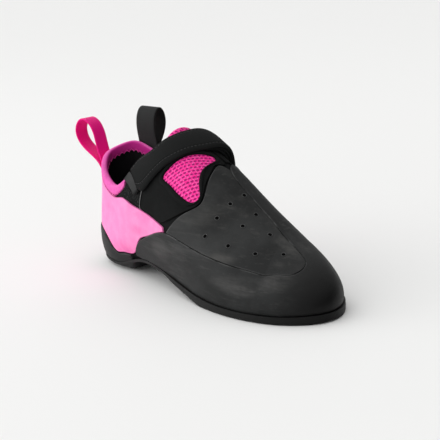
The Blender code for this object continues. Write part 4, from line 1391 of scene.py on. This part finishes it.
class Palette:
    """Every material of the shoe."""

    def __init__(self) -> None:
        """Makes the materials."""
        # Rand, toe patch and sole take painted shade at the toe; rand, patch and heel cup a paler edge from
        # wear and painted highlight
        self.rand = ClimbingRubber("rand rubber", "#151616", "#282929", "#504f4e", 3.0, RAND_DUST, PAINTED_TOE_SHADE,
                                   0.6).make()
        self.patch = ClimbingRubber("toe patch rubber", "#1a1b1b", "#2d2e2e", "#4c4b49", 11.0, PATCH_DUST,
                                    PAINTED_TOE_SHADE[:1], 0.4).make()
        self.sole = ClimbingRubber("sole rubber", "#101010", "#171717", "#221f1d", 7.0, painted_shade_marks=PAINTED_TOE_SHADE[:1],
                                   slot="sole_rubber").make()
        self.heel = ClimbingRubber("heel cup rubber", "#121313", "#1a1b1b", "#2c2a28", 5.0, rub=0.3).make()
        self.tab = ClimbingRubber("strap tab", "#0d0e0e", "#141515", "#1e1e1e", 5.0, slot="tab").make()
        # Vent lips: paler rubber, a painted highlight round each hole's rim
        self.lip = ClimbingRubber("vent lip rubber", "#3c3d3d", "#565757", "#6c6b69", 2.0).make()
        self.pink = Suede("pink microfibre", "#f98cc2", "#e468a8", "#ffa9d4", "#c9609c", "pink_microfibre",
                          HEEL_STAINS).make()
        self.black = Suede("black microfibre", "#111212", "#0b0b0b", "#181919", "#070707",
                           "black_microfibre").make()
        # The binding's last colour is the painted shade on its inner face
        self.binding = Knit("pink binding", "#f47cc4", "#dc50a8",
                            Finish(0.85, 0.12, sheen=0.08, sheen_tint="#ff9ad6", slot="pink_microfibre"),
                            (0.12, 0.15), "#a30d70").make()
        self.lining = Knit("dark lining", "#121113", "#080809",
                           Finish(0.85, 0.1, sheen=0.1, sheen_tint="#121113", slot="lining")).make()
        self.board = Knit("insole fabric", "#1d1c1e", "#111012",
                          Finish(0.85, 0.1, sheen=0.1, sheen_tint="#1d1c1e", slot="board")).make()
        self.gore = Fleece("stretch gore").make()
        self.mesh = SpacerMesh("pink window mesh", draped=False).make()
        self.tongue = SpacerMesh("pink tongue mesh", draped=True).make()
        self.web_pink = Webbing("magenta webbing", "#f20484", "#bf0064", "pink_webbing", 0.5).make()
        # The black loop's last number is the painted shade on its inner face
        self.web_black = Webbing("black webbing", "#2b2c2c", "#151515", "black_webbing", 0.7, 0.9).make()
        self.strap = Webbing("black strap knit", "#171818", "#0b0b0b", "black_microfibre", 0.9).make()
        # Twisted thread: matt, with a little shine on top of each stitch
        sewn = Finish(0.6, sheen=0.2, slot="pink_microfibre"), Finish(0.5, sheen=0.1, slot="black_microfibre")
        self.pink_thread = Paint("pink thread", sewn[0]).done("#e0349c")
        self.black_thread = Paint("black thread", sewn[1]).done("#1c1c1d")
        # The floor of a punched hole: the black beneath, darkened further by painted shade in the pit, without
        # any gloss
        self.hole = Paint("vent hole", Finish(0.95, 0.05, slot="rand_rubber")).done("#040404")
        # Film pressed on a cord: a thin bright line of gloss along it
        self.gloss = Paint("piping film", Finish(0.25, 0.5, coat=1.0, coat_roughness=0.08,
                                                 slot="black_microfibre")).done("#060606")


@dataclass
class Upper:
    """The hollow upper: its dark shell, its lining, the pink mesh of the instep and the insole."""

    last: Last
    palette: Palette
    window_puff: float = 0.8 * MM
    tongue_puff: float = 5.6 * MM
    overlap: float = 1.12
    board_gap: float = 2.2 * MM
    board_lift: float = 2.0 * MM

    def wall(self, name: str, offset: float, material: Material, along: int, high: int,
             node: str = "") -> Object:
        """Builds one face of the upper all round.

        Args:
            name: the piece's name.
            offset: height above the upper's outer face.
            material: its material.
            along: how many stations it has on each side.
            high: how many places it has up the wall.
            node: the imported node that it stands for; without one its faces look inward.

        Returns:
            The object.
        """
        s, v = np.meshgrid(np.linspace(0.0, 1.0, along), np.linspace(0.0, 1.0, high), indexing="ij")
        sides = [self.last.point(s, v, side) + self.last.normal(s, v, side) * offset for side in (-1, 1)]
        return Form.piece(name, np.vstack([sides[0][::-1], sides[1]]), material, flip=bool(node), node=node)

    def window_mesh(self) -> Object:
        """Stretches mesh behind the side panel's window, a little past its outline.

        Returns:
            The piece.
        """
        outline = ChartCurve(QUARTER_ROWS, QUARTER_COLUMNS, "window_", closed=True)
        centre = outline.places(np.linspace(0.0, 1.0, 60)).mean(axis=0)

        def places(t: Array, u: Array) -> Pair:
            """Spans the window from its lateral edge to its medial one."""
            rows = blend(-0.5, WINDOW_FRONT_ROW, t), blend(WINDOW_REAR_ROW, WINDOW_FRONT_ROW, t)
            lateral, medial = (outline.places(row / outline.last) for row in rows)
            return from_chart(centre + (blend(lateral, medial, u[..., None]) - centre) * self.overlap)

        def relief(s: Array, w: Array, *_: Array) -> Array:
            """Puffs the middle up."""
            return self.window_puff * bell(s, 0.56, 0.035) * bell(w, -0.30, 0.14)

        return Blanket("window_mesh", places, self.palette.mesh, self.last, 0.4 * MM, 0.6 * MM, along=100,
                       across=80, relief=relief).build()

    def tongue_mesh(self) -> Object:
        """Puffs the mesh up behind the strap.

        Returns:
            The piece.
        """
        def places(t: Array, u: Array) -> Pair:
            """Spans the strip behind the strap."""
            return 0.4425 + 0.055 * t, -0.26 + 0.70 * u

        def relief(s: Array, w: Array, *_: Array) -> Array:
            """Puffs the middle up."""
            return self.tongue_puff * bell(s, 0.466, 0.0165) * bell(w, 0.05, 0.21)

        return Blanket("tongue_mesh", places, self.palette.tongue, self.last, 0.5 * MM, 0.6 * MM, along=60,
                       across=90, relief=relief).build()

    def insole(self) -> Object:
        """Lays the insole's fabric face inside.

        Returns:
            The piece.
        """
        s = np.linspace(0.014, 0.986, 90)
        inset = UPPER_WALL + self.board_gap
        edges = [self.last.foot_edge(s, side) - self.last.outward(s, side) * inset for side in (-1, 1)]
        tilt = edges[1][:, 2] - edges[0][:, 2]
        share = inset / (inset * 2.0 + np.linalg.norm(edges[1] - edges[0], axis=-1))
        edges[0][:, 2] += tilt * share + self.board_lift
        edges[1][:, 2] += -tilt * share + self.board_lift
        across = np.linspace(0.0, 1.0, 24)[None, :, None]
        grid = blend(edges[0][:, None], edges[1][:, None], across)
        return Form.piece("insole_top", grid, self.palette.board, node="insole")

    def build(self) -> list[Object]:
        """Builds the upper."""
        return [self.wall("upper_shell", -0.05 * MM, self.palette.black, 150, 44, "upper"),
                self.wall("upper_lining", -UPPER_WALL, self.palette.lining, 110, 32),
                self.insole(), self.window_mesh(), self.tongue_mesh()]


@dataclass
class Rubber:
    """The rubber on the upper: rand, toe patch with its vent holes, and heel cup."""

    last: Last
    palette: Palette
    patch_thickness: float = 0.96 * RUBBER_THICKNESS
    lip_height: float = 0.25 * MM
    hollow_depth: float = 0.5 * MM

    def rand(self) -> Object:
        """Builds the forefoot rand.

        Returns:
            The piece.
        """
        edge = ChartCurve(RAND_ROWS, RAND_COLUMNS, "edge_")
        feet = Curves(RAND_ROWS, RAND_COLUMNS)

        def places(t: Array, u: Array) -> Pair:
            """Spans the rand from the foot to its upper edge."""
            foot = feet.at(t * feet.last, "foot")
            low = to_chart(1.0 - np.abs(1.0 - foot), np.where(foot < 1.0, -1.0, 1.0))
            return from_chart(blend(low, edge.places(t), u[..., None]))

        def relief(s: Array, w: Array, t: Array, u: Array, _: Array) -> Array:
            """Raises the edge round the toe patch and sinks the side below it."""
            lip = bell(u, 0.97, 0.03) * smooth_step(t, 0.40, 0.5)
            hollow = bell(u, 0.30, 0.16) * smooth_step(t, 0.10, 0.22) * (1.0 - smooth_step(t, 0.36, 0.46))
            return lip * self.lip_height - hollow * self.hollow_depth

        return Blanket("rand_rubber", places, self.palette.rand, self.last, RUBBER_THICKNESS, 0.7 * MM, 0.6,
                       260, 44, relief=relief).build("rand")

    def patch(self) -> Object:
        """Builds the toe patch.

        Returns:
            The piece.
        """
        sides = [ChartCurve(RAND_ROWS, RAND_COLUMNS, "edge_", corner, PATCH_FRONT_ROW, PATCH_SEAM)
                 for corner in (PATCH_LATERAL_ROW, PATCH_MEDIAL_ROW)]
        rear = ChartCurve(PATCH_REAR, PATCH_REAR_COLUMNS)

        def places(t: Array, u: Array) -> Pair:
            """Spans the patch between its sides, its rear edge pulled on to its own line."""
            share = u[..., None]
            ends = rear.places(np.zeros_like(u)), rear.places(np.ones_like(u))
            start = rear.places(u) - blend(*ends, share)
            grid = blend(sides[0].places(t), sides[1].places(t), share)
            return from_chart(grid + ((1.0 - t) ** 2)[..., None] * start)

        return Blanket("toe_patch_rubber", places, self.palette.patch, self.last, self.patch_thickness,
                       0.6 * MM, 0.6, 150, 90).build("toe_patch")

    def vents(self) -> list[Object]:
        """Punches the toe patch's vent holes, each a dark disc of painted shade for the pit, with a thin pale
        lip of painted highlight.

        Returns:
            The pieces.
        """
        s, w = (column(VENT_ROWS, VENT_COLUMNS, name) for name in VENT_COLUMNS)
        centres = self.last.on(s, w, self.patch_thickness + 0.06 * MM)
        outward = unit(self.last.on(s, w, self.patch_thickness + MM) - centres)
        parts = (("toe_patch_vents", Perforation.FLOOR, self.palette.hole),
                 ("toe_patch_vent_lips", Perforation.LIP, self.palette.lip))
        return [Repeat.perforations(name, centres, outward, *look) for name, *look in parts]

    def heel(self) -> Object:
        """Builds the heel's rubber cup.

        Returns:
            The piece.
        """
        table = Curves(HEEL_ROWS, HEEL_COLUMNS, over="t")

        def places(t: Array, u: Array) -> Pair:
            """Spans the cup from the sole's edge to its upper edge."""
            at = -HEEL_CUP_END + 2.0 * HEEL_CUP_END * t
            return round_heel(at, u * np.maximum(table.at(at, "rubber_top"), 0.03))

        return Blanket("heel_cup_rubber", places, self.palette.heel, self.last, RUBBER_THICKNESS, 1.0 * MM,
                       along=150, across=26).build("heel_cup")

    def build(self) -> list[Object]:
        """Builds the rubber's pieces and returns them."""
        return [self.rand(), self.patch(), *self.vents(), self.heel()]


@dataclass
class Panels:
    """The fabric panels: heel panel, side panels and stretch gores."""

    last: Last
    palette: Palette
    border_height: float = 0.85 * MM
    border_place: float = 2.0 * MM
    groove_depth: float = 0.25 * MM
    groove_place: float = 4.3 * MM
    gore_thickness: float = 0.9 * PANEL_THICKNESS

    def heel(self) -> Object:
        """Builds the pink heel panel.

        Returns:
            The piece.
        """
        table = Curves(HEEL_ROWS, HEEL_COLUMNS, over="t")
        first, end = HEEL_ROWS[0][0], HEEL_ROWS[-1][0]

        def places(t: Array, u: Array) -> Pair:
            """Spans the panel from its lower edge, tucked up to the rand, to its upper one."""
            at = first + (end - first) * t
            low, high = table.at(at, "panel_bottom"), table.at(at, "panel_top")
            low = low - PANEL_TUCK * smooth_step(np.abs(at), 0.325, 0.360)
            return round_heel(at, low + (np.maximum(high, low + 0.012) - low) * u)

        return Blanket("heel_panel_suede", places, self.palette.pink, self.last, PANEL_THICKNESS, 0.7 * MM,
                       along=240, across=46).build("heel_panel")

    def side(self) -> Object:
        """Builds the black side panel round the mesh window.

        Returns:
            The piece.
        """
        outer, inner = (ChartCurve(QUARTER_ROWS, QUARTER_COLUMNS, edge, closed=True)
                        for edge in ("outer_", "window_"))

        def places(t: Array, u: Array) -> Pair:
            """Spans the ring from its outline to the window's."""
            return from_chart(blend(outer.places(t), inner.places(t), u[..., None]))

        def relief(s: Array, w: Array, t: Array, u: Array, edge: Array) -> Array:
            """Raises a soft border round the window, with a groove outside it."""
            inside = np.where(u > 0.5, 1.0, 0.0)
            band = bell(edge, self.border_place, 1.4 * MM) * inside
            groove = bell(edge, self.groove_place, 0.5 * MM) * inside
            return self.border_height * band - self.groove_depth * groove

        return Blanket("side_panel_suede", places, self.palette.black, self.last, PANEL_THICKNESS, 0.7 * MM,
                       along=220, closed=True, relief=relief).build("quarter_lateral")

    def piping(self) -> Object:
        """Lays the glossy piping along the side panel's rear edge.

        Returns:
            The piece.
        """
        outer = ChartCurve(QUARTER_ROWS, QUARTER_COLUMNS, "outer_", closed=True)
        s, w = outer.on_last(np.linspace(PIPING_LOW_ROW, PIPING_HIGH_ROW, 90) / outer.last)
        ripple = 0.08 * MM * np.sin(np.linspace(0.0, 60.0 * math.pi, 90))
        line = self.last.on(s, w, 1.25 * PANEL_THICKNESS + ripple)
        return Repeat.piping("side_panel_piping", line, self.palette.gloss)

    def strip(self, name: str, node: str, rows: Sequence, material: Material, thickness: float,
              mirrored: bool = False) -> Object:
        """Builds a panel between its low and its high edge.

        Args:
            name: the piece's name.
            node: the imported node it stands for.
            rows: its table.
            material: its material.
            thickness: its thickness.
            mirrored: whether it lies on the other side.

        Returns:
            The piece.
        """
        curves = Curves(rows, STRIP_COLUMNS)

        def places(t: Array, u: Array) -> Pair:
            """Spans the strip between its edges."""
            s, w = curves.between(t * curves.last, "low", "high", u)
            return (s, np.maximum(-w - 0.012, BINDING_SHARE)) if mirrored else (s, w)

        return Blanket(name, places, material, self.last, thickness, 0.6 * MM, along=80,
                       across=40).build(node)

    def build(self) -> list[Object]:
        """Builds the panels.

        Returns:
            Its pieces.
        """
        gore = GORE_ROWS, self.palette.gore, self.gore_thickness
        medial = QUARTER_MEDIAL_ROWS, self.palette.black, PANEL_THICKNESS
        return [self.heel(), self.side(), self.piping(),
                self.strip("medial_panel_suede", "quarter_medial", *medial),
                self.strip("gore_lateral_fabric", "gore_lateral", *gore),
                self.strip("gore_medial_fabric", "gore_medial", *gore, mirrored=True)]


@dataclass
class Collar:
    """The padded binding round the collar and its zigzag seams."""

    last: Last
    palette: Palette
    ripple: float = 0.06 * MM
    thread_depth: float = 0.15 * MM

    def frame(self, count: int) -> tuple[Array, Array, Array]:
        """Finds the rim with its outward and downward directions.

        Args:
            count: how many places along the rim.

        Returns:
            Rim points, normals and downward directions.
        """
        t = np.linspace(BINDING_LATERAL_END, BINDING_MEDIAL_END, count)
        rim, normal, down = (np.empty((count, 3)) for _ in range(3))
        for wall, own in ((-1, t < 0), (1, t >= 0)):
            s = np.abs(t[own])
            rim[own] = self.last.point(s, np.ones_like(s), wall)
            normal[own] = self.last.normal(s, np.full_like(s, 0.955), wall)
            down[own] = unit(self.last.point(s, np.full_like(s, 0.94), wall) - rim[own])
        return rim, normal, down

    def build(self) -> list[Object]:
        """Builds the binding and its stitches.

        Returns:
            Its pieces.
        """
        rim, normal, down = self.frame(220)
        depth, outer = BINDING_DEPTH, BINDING_GAP + BINDING_THICKNESS
        inner = -UPPER_WALL - outer
        middle, half = 0.5 * (outer + inner), 0.5 * (outer - inner)
        wall = ((1.9 * MM, depth), (0.4 * MM, depth + 0.1 * MM), (0.0, depth - 0.5 * MM),
                (-0.1 * MM, 0.55 * depth), (0.0, 0.2 * depth))
        profile = [(outer - inward, drop) for inward, drop in wall]
        profile += [(middle + half * math.cos(a), -BINDING_GAP - 1.5 * MM * math.sin(a))
                    for a in np.linspace(0.0, math.pi, 9)]
        profile += [*((inner + inward, drop) for inward, drop in wall[::-1]), profile[0]]
        points = np.stack([rim + normal * across + down * drop for across, drop in profile], axis=1)
        ripple = self.ripple * np.sin(np.linspace(0.0, 130.0 * math.pi, len(rim)))[:, None]
        points[:, 2:5] += (normal * ripple)[:, None]
        band = Form.piece("collar_binding_band", points, self.palette.binding, solid=True,
                          sharp=60.0, node="collar_binding")
        low = rim + down * (depth - 0.2 * MM)
        seams = (("binding_zigzag_outside", outer - self.thread_depth),
                 ("binding_zigzag_inside", inner + self.thread_depth))
        return [band, *(Repeat.zigzag(name, low + normal * across, down, self.palette.pink_thread)
                        for name, across in seams)]


@dataclass(frozen=True)
class StrapLayer:
    """One layer of the strap: thickness, the shares of the lift where it lies, inset, ends and fineness."""

    thickness: float = STRAP_THICKNESS
    low: float = 1.0
    high: float = 1.0
    inset: float = 0.0
    first: float = 0.0
    end: float = 99.0
    along: int = 200
    groove: float = 0.0


@dataclass
class Strap:
    """The closing strap over the instep and the stiff tab at its lateral end."""

    last: Last
    palette: Palette
    base: float = 1.8 * MM
    seam_inset: float = 3.4 * MM
    puff: float = 0.35 * MM

    def slab(self, name: str, rows: Sequence, material: Material, layer: StrapLayer,
             node: str = "") -> Object:
        """Builds a flat band with rounded edges all round.

        Args:
            name: the piece's name.
            rows: its table.
            material: its material.
            layer: its heights, insets and ends.
            node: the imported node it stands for, if any.

        Returns:
            The piece.
        """
        curves = Curves(rows, STRAP_COLUMNS)
        at = np.linspace(layer.first, min(layer.end, curves.last), layer.along)
        rear, front = (self.last.on(*curves.edge(at, edge)) for edge in ("rear", "front"))
        width = np.linalg.norm(front - rear, axis=-1)[:, None]
        lift = (np.clip(curves.at(at, "lift"), 0.0, 1.0) * STRAP_LIFT)[:, None]
        turn = np.linspace(0.0, math.pi, 7)[None, 1:-1]
        low = self.base + lift * layer.low
        half = 0.5 * (self.base + lift * layer.high + layer.thickness - low)
        margin = half + layer.inset
        u_top = (margin + (width - 2.0 * margin) * np.linspace(0.0, 1.0, 40)) / width
        edge = np.minimum(u_top, 1.0 - u_top) * width - layer.inset
        sewn = bell(edge, self.seam_inset, 0.5 * MM) * layer.groove
        puff = self.puff * smooth_step(edge, 0.0, 3.0 * MM) * (layer.groove > 0.0)
        top = low + 2.0 * half + puff - sewn
        side, rise = (margin - half * np.sin(turn)) / width, half * np.cos(turn)
        u = np.concatenate([u_top, 1.0 - side, u_top[:, ::-1], side, u_top[:, :1]], axis=1)
        middle = low + half
        height = np.concatenate([top, middle + rise, low + 0.0 * u_top, middle - rise, top[:, :1]], axis=1)
        points = self.last.on(*curves.between(at[:, None], "rear", "front", u), height)
        return Form.piece(name, points, material, solid=True, node=node)

    def seam(self, name: str, front: bool) -> Object:
        """Sews stitches along one of the strap's grooves.

        Args:
            name: the piece's name.
            front: whether it is the front groove.

        Returns:
            The piece.
        """
        curves = Curves(STRAP_ROWS, STRAP_COLUMNS)
        at = np.linspace(0.02, 0.98, 140) * curves.last
        ends = [self.last.on(*curves.edge(at, edge)) for edge in ("rear", "front")]
        u = self.seam_inset / np.linalg.norm(ends[1] - ends[0], axis=-1)
        s, w = curves.between(at, "rear", "front", 1.0 - u if front else u)
        height = self.base + np.clip(curves.at(at, "lift"), 0.0, 1.0) * STRAP_LIFT + STRAP_THICKNESS
        line = self.last.on(s, w, height + 0.1 * MM)
        return Repeat.stitches(name, line, unit(ends[1] - ends[0]), self.palette.black_thread)

    def build(self) -> list[Object]:
        """Builds the strap.

        Returns:
            Its pieces.
        """
        strap = self.slab("strap_band", STRAP_ROWS, self.palette.strap, StrapLayer(groove=0.45 * MM), "strap")
        flat = StrapLayer(0.9 * STRAP_THICKNESS, along=14)
        tab = self.slab("strap_tab_rubber", TAB_ROWS, self.palette.tab, flat, "strap_tab")
        stack = [self.slab(name, STRAP_ROWS, self.palette.black, layer) for name, layer in (
            ("strap_underlay", StrapLayer(-0.1 * MM, 0.0, 0.5, 1.1 * MM, 5.7, 10.3, 90)),
            ("strap_middle_layer", StrapLayer(-0.1 * MM, 0.5, 1.0, 0.5 * MM, 5.7, 10.3, 90)))]
        return [strap, tab, *stack, self.seam("strap_seam_rear", False), self.seam("strap_seam_front", True)]


@dataclass
class Loops:
    """The two pull loops of woven tape."""

    last: Last
    palette: Palette
    heel_gap: float = 1.7 * MM
    side_gap: float = 1.4 * MM + BINDING_THICKNESS

    @staticmethod
    def tape(name: str, node: str, path: Array, width: Array, material: Material) -> Object:
        """Makes tape along a path.

        Args:
            name: the piece's name.
            node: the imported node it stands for.
            path: its middle line.
            width: the vector across it.
            material: its material.

        Returns:
            The piece.
        """
        normal = unit(np.cross(unit(np.gradient(path, axis=0)), width))
        half, wide = 0.5 * WEB_THICKNESS, 0.5 * float(np.linalg.norm(width))
        corner = half * 0.7
        flat = np.linspace(-1.0, 1.0, 13) * (wide - corner)
        turn = np.linspace(0.0, math.pi, 5)[1:-1]
        section = [(u, half * (1.0 + 0.12 * (abs(u) / wide) ** 6)) for u in flat]
        section += [(wide - corner + corner * math.sin(a), half * math.cos(a)) for a in turn]
        section += [(u, -half) for u in flat[::-1]]
        section += [(-wide + corner - corner * math.sin(a), -half * math.cos(a)) for a in turn]
        section.append(section[0])
        points = np.stack([path + unit(width) * u + normal * h for u, h in section], axis=1)
        return Form.piece(name, points, material, solid=True, node=node)

    def heel(self) -> Object:
        """Builds the heel loop, in the plane of the shoe's side view.

        Returns:
            The piece.
        """
        rim = self.last.top_line(np.array(0.0), -1)
        curves = Curves(HEEL_LOOP_ROWS, HEEL_LOOP_COLUMNS)
        at = np.linspace(0.0, curves.last, 180)
        x = rim[0] - self.heel_gap - 0.5 * WEB_THICKNESS + curves.at(at, "x") * HEEL_LOOP_REACH
        path = np.stack([x, np.zeros_like(x), rim[2] + curves.at(at, "z") * HEEL_LOOP_REACH], -1)
        width = np.array([0.0, HEEL_WEB_WIDTH, 0.0])
        return self.tape("heel_loop_tape", "pull_loop_heel", path, width, self.palette.web_pink)

    def side(self) -> Object:
        """Builds the side loop, standing out from the medial wall.

        Returns:
            The piece.
        """
        s, v = np.array(SIDE_LOOP_STATION), np.array(1.0)
        rim, normal = self.last.point(s, v, 1), self.last.normal(s, v, 1)
        out = unit(normal * np.array([1.0, 1.0, 0.0]))
        curves = Curves(SIDE_LOOP_ROWS, SIDE_LOOP_COLUMNS)
        at = np.linspace(0.0, curves.last, 160)
        away = self.side_gap + 0.5 * WEB_THICKNESS + curves.at(at, "out") * SIDE_LOOP_HEIGHT
        rise = (curves.at(at, "up") * SIDE_LOOP_HEIGHT)[:, None] * np.array([0.0, 0.0, 1.0])
        width = np.array([out[1], -out[0], 0.0]) * SIDE_WEB_WIDTH
        return self.tape("side_loop_tape", "pull_loop_side", rim + away[:, None] * out + rise, width,
                         self.palette.web_black)

    def build(self) -> list[Object]:
        """Builds both loops and returns them."""
        return [self.heel(), self.side()]


@dataclass
class SolePiece:
    """One length of the sole, with rounded lower edges, that spreads a little past the foot's edge."""

    name: str
    node: str
    start: float
    end: float
    under: Callable[[Array, Array, Array], Array]
    palette: Palette
    last: Last
    along: int = 90
    spread: float = RUBBER_THICKNESS + 0.3 * MM
    front_spread: float = RUBBER_THICKNESS + 0.3 * MM
    seat: float = 0.3 * MM

    def build(self) -> Object:
        """Builds the piece.

        Returns:
            The object.
        """
        share = np.linspace(0.0, 1.0, self.along)
        if self.end >= 1.0:
            share = 1.0 - (1.0 - share) ** 1.7
        if self.start <= 0.0:
            share = share ** 1.7
        s = self.start + (self.end - self.start) * share
        spread = blend(self.spread, self.front_spread, smooth_step(s, self.start, self.start + 0.09))[:, None]
        edges = [self.last.foot_edge(s, side) + self.last.outward(s, side) * spread for side in (-1, 1)]
        across = 0.5 - 0.5 * np.cos(np.linspace(0.0, math.pi, 26))
        top = blend(edges[0][:, None], edges[1][:, None], across[None, :, None])
        top[..., 2] -= self.seat
        centre = top.mean(axis=1, keepdims=True)
        level = self.under(s, across, top)
        rows = [top]
        for inset, drop in ((1.0, 0.06), (1.0, 0.5), (0.997, 0.8), (0.985, 0.96), (0.965, 1.0)):
            ring = centre + (top - centre) * inset
            ring[..., 2] = blend(top[..., 2], level, drop)
            rows.append(ring)
        lateral, medial = (np.stack([row[:, end] for row in rows], axis=1) for end in (0, -1))
        below, above = rows[-1][:, 1:-1], top[:, 1:-1][:, ::-1]
        section = np.concatenate([lateral, below, medial[:, ::-1], above, lateral[:, :1]], axis=1)
        return Form.piece(self.name, section, self.palette.sole, solid=True,
                          node=self.node)


@dataclass
class Sole:
    """The sole: front piece, arch piece and heel piece."""

    last: Last
    palette: Palette
    arch_rear: float = 0.300
    arch_front: float = 0.440

    def front(self, s: Array, across: Array, top: Array) -> Array:
        """Finds the front piece's underside, flat below the ball.

        Args:
            s: stations.
            across: shares across.
            top: its upper face.

        Returns:
            Heights.
        """
        lateral, medial = (self.last.under[side](s)[:, None] for side in ("lateral", "medial"))
        level = self.arch(s, across, top)
        lift = np.clip(blend(lateral, medial, across) * ARCH_HEIGHT, 0.0, level)
        return level + (lift - level) * smooth_step(s, self.arch_front, self.arch_front + 0.060)[:, None]

    def arch(self, s: Array, across: Array, top: Array) -> Array:
        """Finds the arch piece's underside, even with its upper face."""
        return top[..., 2] - ARCH_SOLE_THICKNESS

    def heel(self, s: Array, across: Array, top: Array) -> Array:
        """Finds the heel piece's underside, flat in the middle and rounded up to its edges.

        Args:
            s: stations.
            across: shares across.
            top: its upper face.

        Returns:
            Heights.
        """
        side_roll = np.clip((np.abs(2.0 * across - 1.0) - 0.62) / 0.38, 0, 1)[None, :]
        back_roll = np.clip((0.075 - s) / 0.075, 0, 1)[:, None]
        front_roll = np.clip((s - 0.235) / 0.065, 0, 1)[:, None]
        roll = np.maximum(np.maximum(side_roll, back_roll), front_roll) ** 2
        return np.maximum(self.arch(s, across, top), 0.0) * roll

    def build(self) -> list[Object]:
        """Builds the sole.

        Returns:
            Its pieces.
        """
        made_of = self.palette, self.last
        rear, front = self.arch_rear, self.arch_front
        pieces = (SolePiece("outsole_front_rubber", "outsole_front", front, 1.0, self.front, *made_of, 150,
                            front_spread=SOLE_RIM),
                  SolePiece("arch_rubber", "arch_sole", rear, front, self.arch, *made_of, 40),
                  SolePiece("outsole_heel_rubber", "outsole_heel", 0.0, rear, self.heel, *made_of))
        return [piece.build() for piece in pieces]


class Softbox(Enum):
    """The studio's lights: place and aim in metres, width, height, power in watts."""

    KEY = ((-0.72, -0.80, 0.36), (0.06, 0.0, 0.02), 1.1, 0.6, 2.8)
    BACK = ((0.10, 0.95, 0.90), (0.08, 0.0, 0.05), 0.8, 0.5, 0.35)


@dataclass
class Studio:
    """The pale floor, the lights and the camera."""

    azimuth: float = 52.0
    elevation: float = 14.6
    roll: float = -3.7
    distance: float = 0.900
    lens: float = 112.7
    target: Place = (0.0993, 0.0, 0.0455)
    bright_side: Place = (-0.66, -0.56, 0.50)
    dimmest: float = 0.07
    brightest: float = 1.48
    horizon: float = 0.86

    def floor(self) -> None:
        """Lays the floor, just below the sole."""
        mesh = bpy.data.meshes.new("studio_floor")
        mesh.from_pydata([(-6, -6, 0), (6, -6, 0), (6, 6, 0), (-6, 6, 0)], [], [(0, 1, 2, 3)])
        mesh.materials.append(Paint("studio floor", Finish(0.7, 0.1)).done("#eeeeed"))
        floor = stand("studio_floor", mesh)
        floor.location.z = -0.2 * MM

    def light(self, box: Softbox) -> None:
        """Hangs one softbox.

        Args:
            box: which one.
        """
        place, aim, width, height, power = box.value
        data = bpy.data.lights.new(box.name.lower() + "_softbox", "AREA")
        data.shape, data.size, data.size_y, data.energy = "RECTANGLE", width, height, power
        lamp = stand(data.name, data)
        lamp.location = place
        lamp.rotation_euler = (Vector(aim) - Vector(place)).to_track_quat("-Z", "Y").to_euler()

    def camera(self) -> None:
        """Sets the camera at the photograph's angle."""
        az, el = math.radians(self.azimuth), math.radians(self.elevation)
        back = Vector((math.sin(az) * math.cos(el), -math.cos(az) * math.cos(el), math.sin(el)))
        data = bpy.data.cameras.new("photo_camera")
        data.sensor_width, data.lens, data.clip_start, data.clip_end = 36.0, self.lens, 0.05, 50.0
        camera = stand("photo_camera", data)
        camera.location = Vector(self.target) + back * self.distance
        tilt = Quaternion((0.0, 0.0, 1.0), math.radians(self.roll))
        camera.rotation_euler = (back.to_track_quat("Z", "Y") @ tilt).to_euler()
        bpy.context.scene.camera = camera

    def surround(self) -> None:
        """Wraps the studio in soft light: bright on one side, dim on the other, pale past the floor's end."""
        world = bpy.data.worlds.new("studio")
        world.use_nodes = True
        tree = world.node_tree
        direction = add_node(tree, "ShaderNodeTexCoord").outputs["Generated"]
        sides = {0: direction, 1: self.bright_side}
        facing = add_node(tree, "ShaderNodeVectorMath", sides, operation="DOT_PRODUCT").outputs["Value"]
        ramp = {"Value": facing, "From Min": -0.75, "From Max": 0.95, "To Min": self.dimmest,
                "To Max": self.brightest}
        strength = add_node(tree, "ShaderNodeMapRange", ramp, interpolation_type="SMOOTHSTEP")
        height = add_node(tree, "ShaderNodeSeparateXYZ", {0: direction}).outputs["Z"]
        pale = Field(tree, height).math("ABSOLUTE").ease(0.11, 0.04) * self.horizon
        sky = tree.nodes["Background"]
        sky.inputs["Color"].default_value = hex_colour("#ffffff")
        most = pale.math("MAXIMUM", Field(tree, strength.outputs["Result"]))
        tree.links.new(most.socket, sky.inputs["Strength"])
        bpy.context.scene.world = world

    def build(self) -> None:
        """Sets up floor, lights, sky and camera."""
        self.floor()
        for box in Softbox:
            self.light(box)
        self.surround()
        bpy.context.scene.view_settings.view_transform = "Standard"
        self.camera()


def main() -> None:
    """Builds the shoe's pieces in order, then the studio."""
    logging.basicConfig(level=logging.INFO, format="%(message)s")
    last, palette = Last(), Palette()
    for assembly in (Upper, Rubber, Panels, Collar, Strap, Loops, Sole):
        for piece in assembly(last, palette).build():
            LOG.info("%s: %s, %d faces", assembly.__name__, piece.name, len(piece.data.polygons))
    Studio().build()


if __name__ == "__main__":
    main()
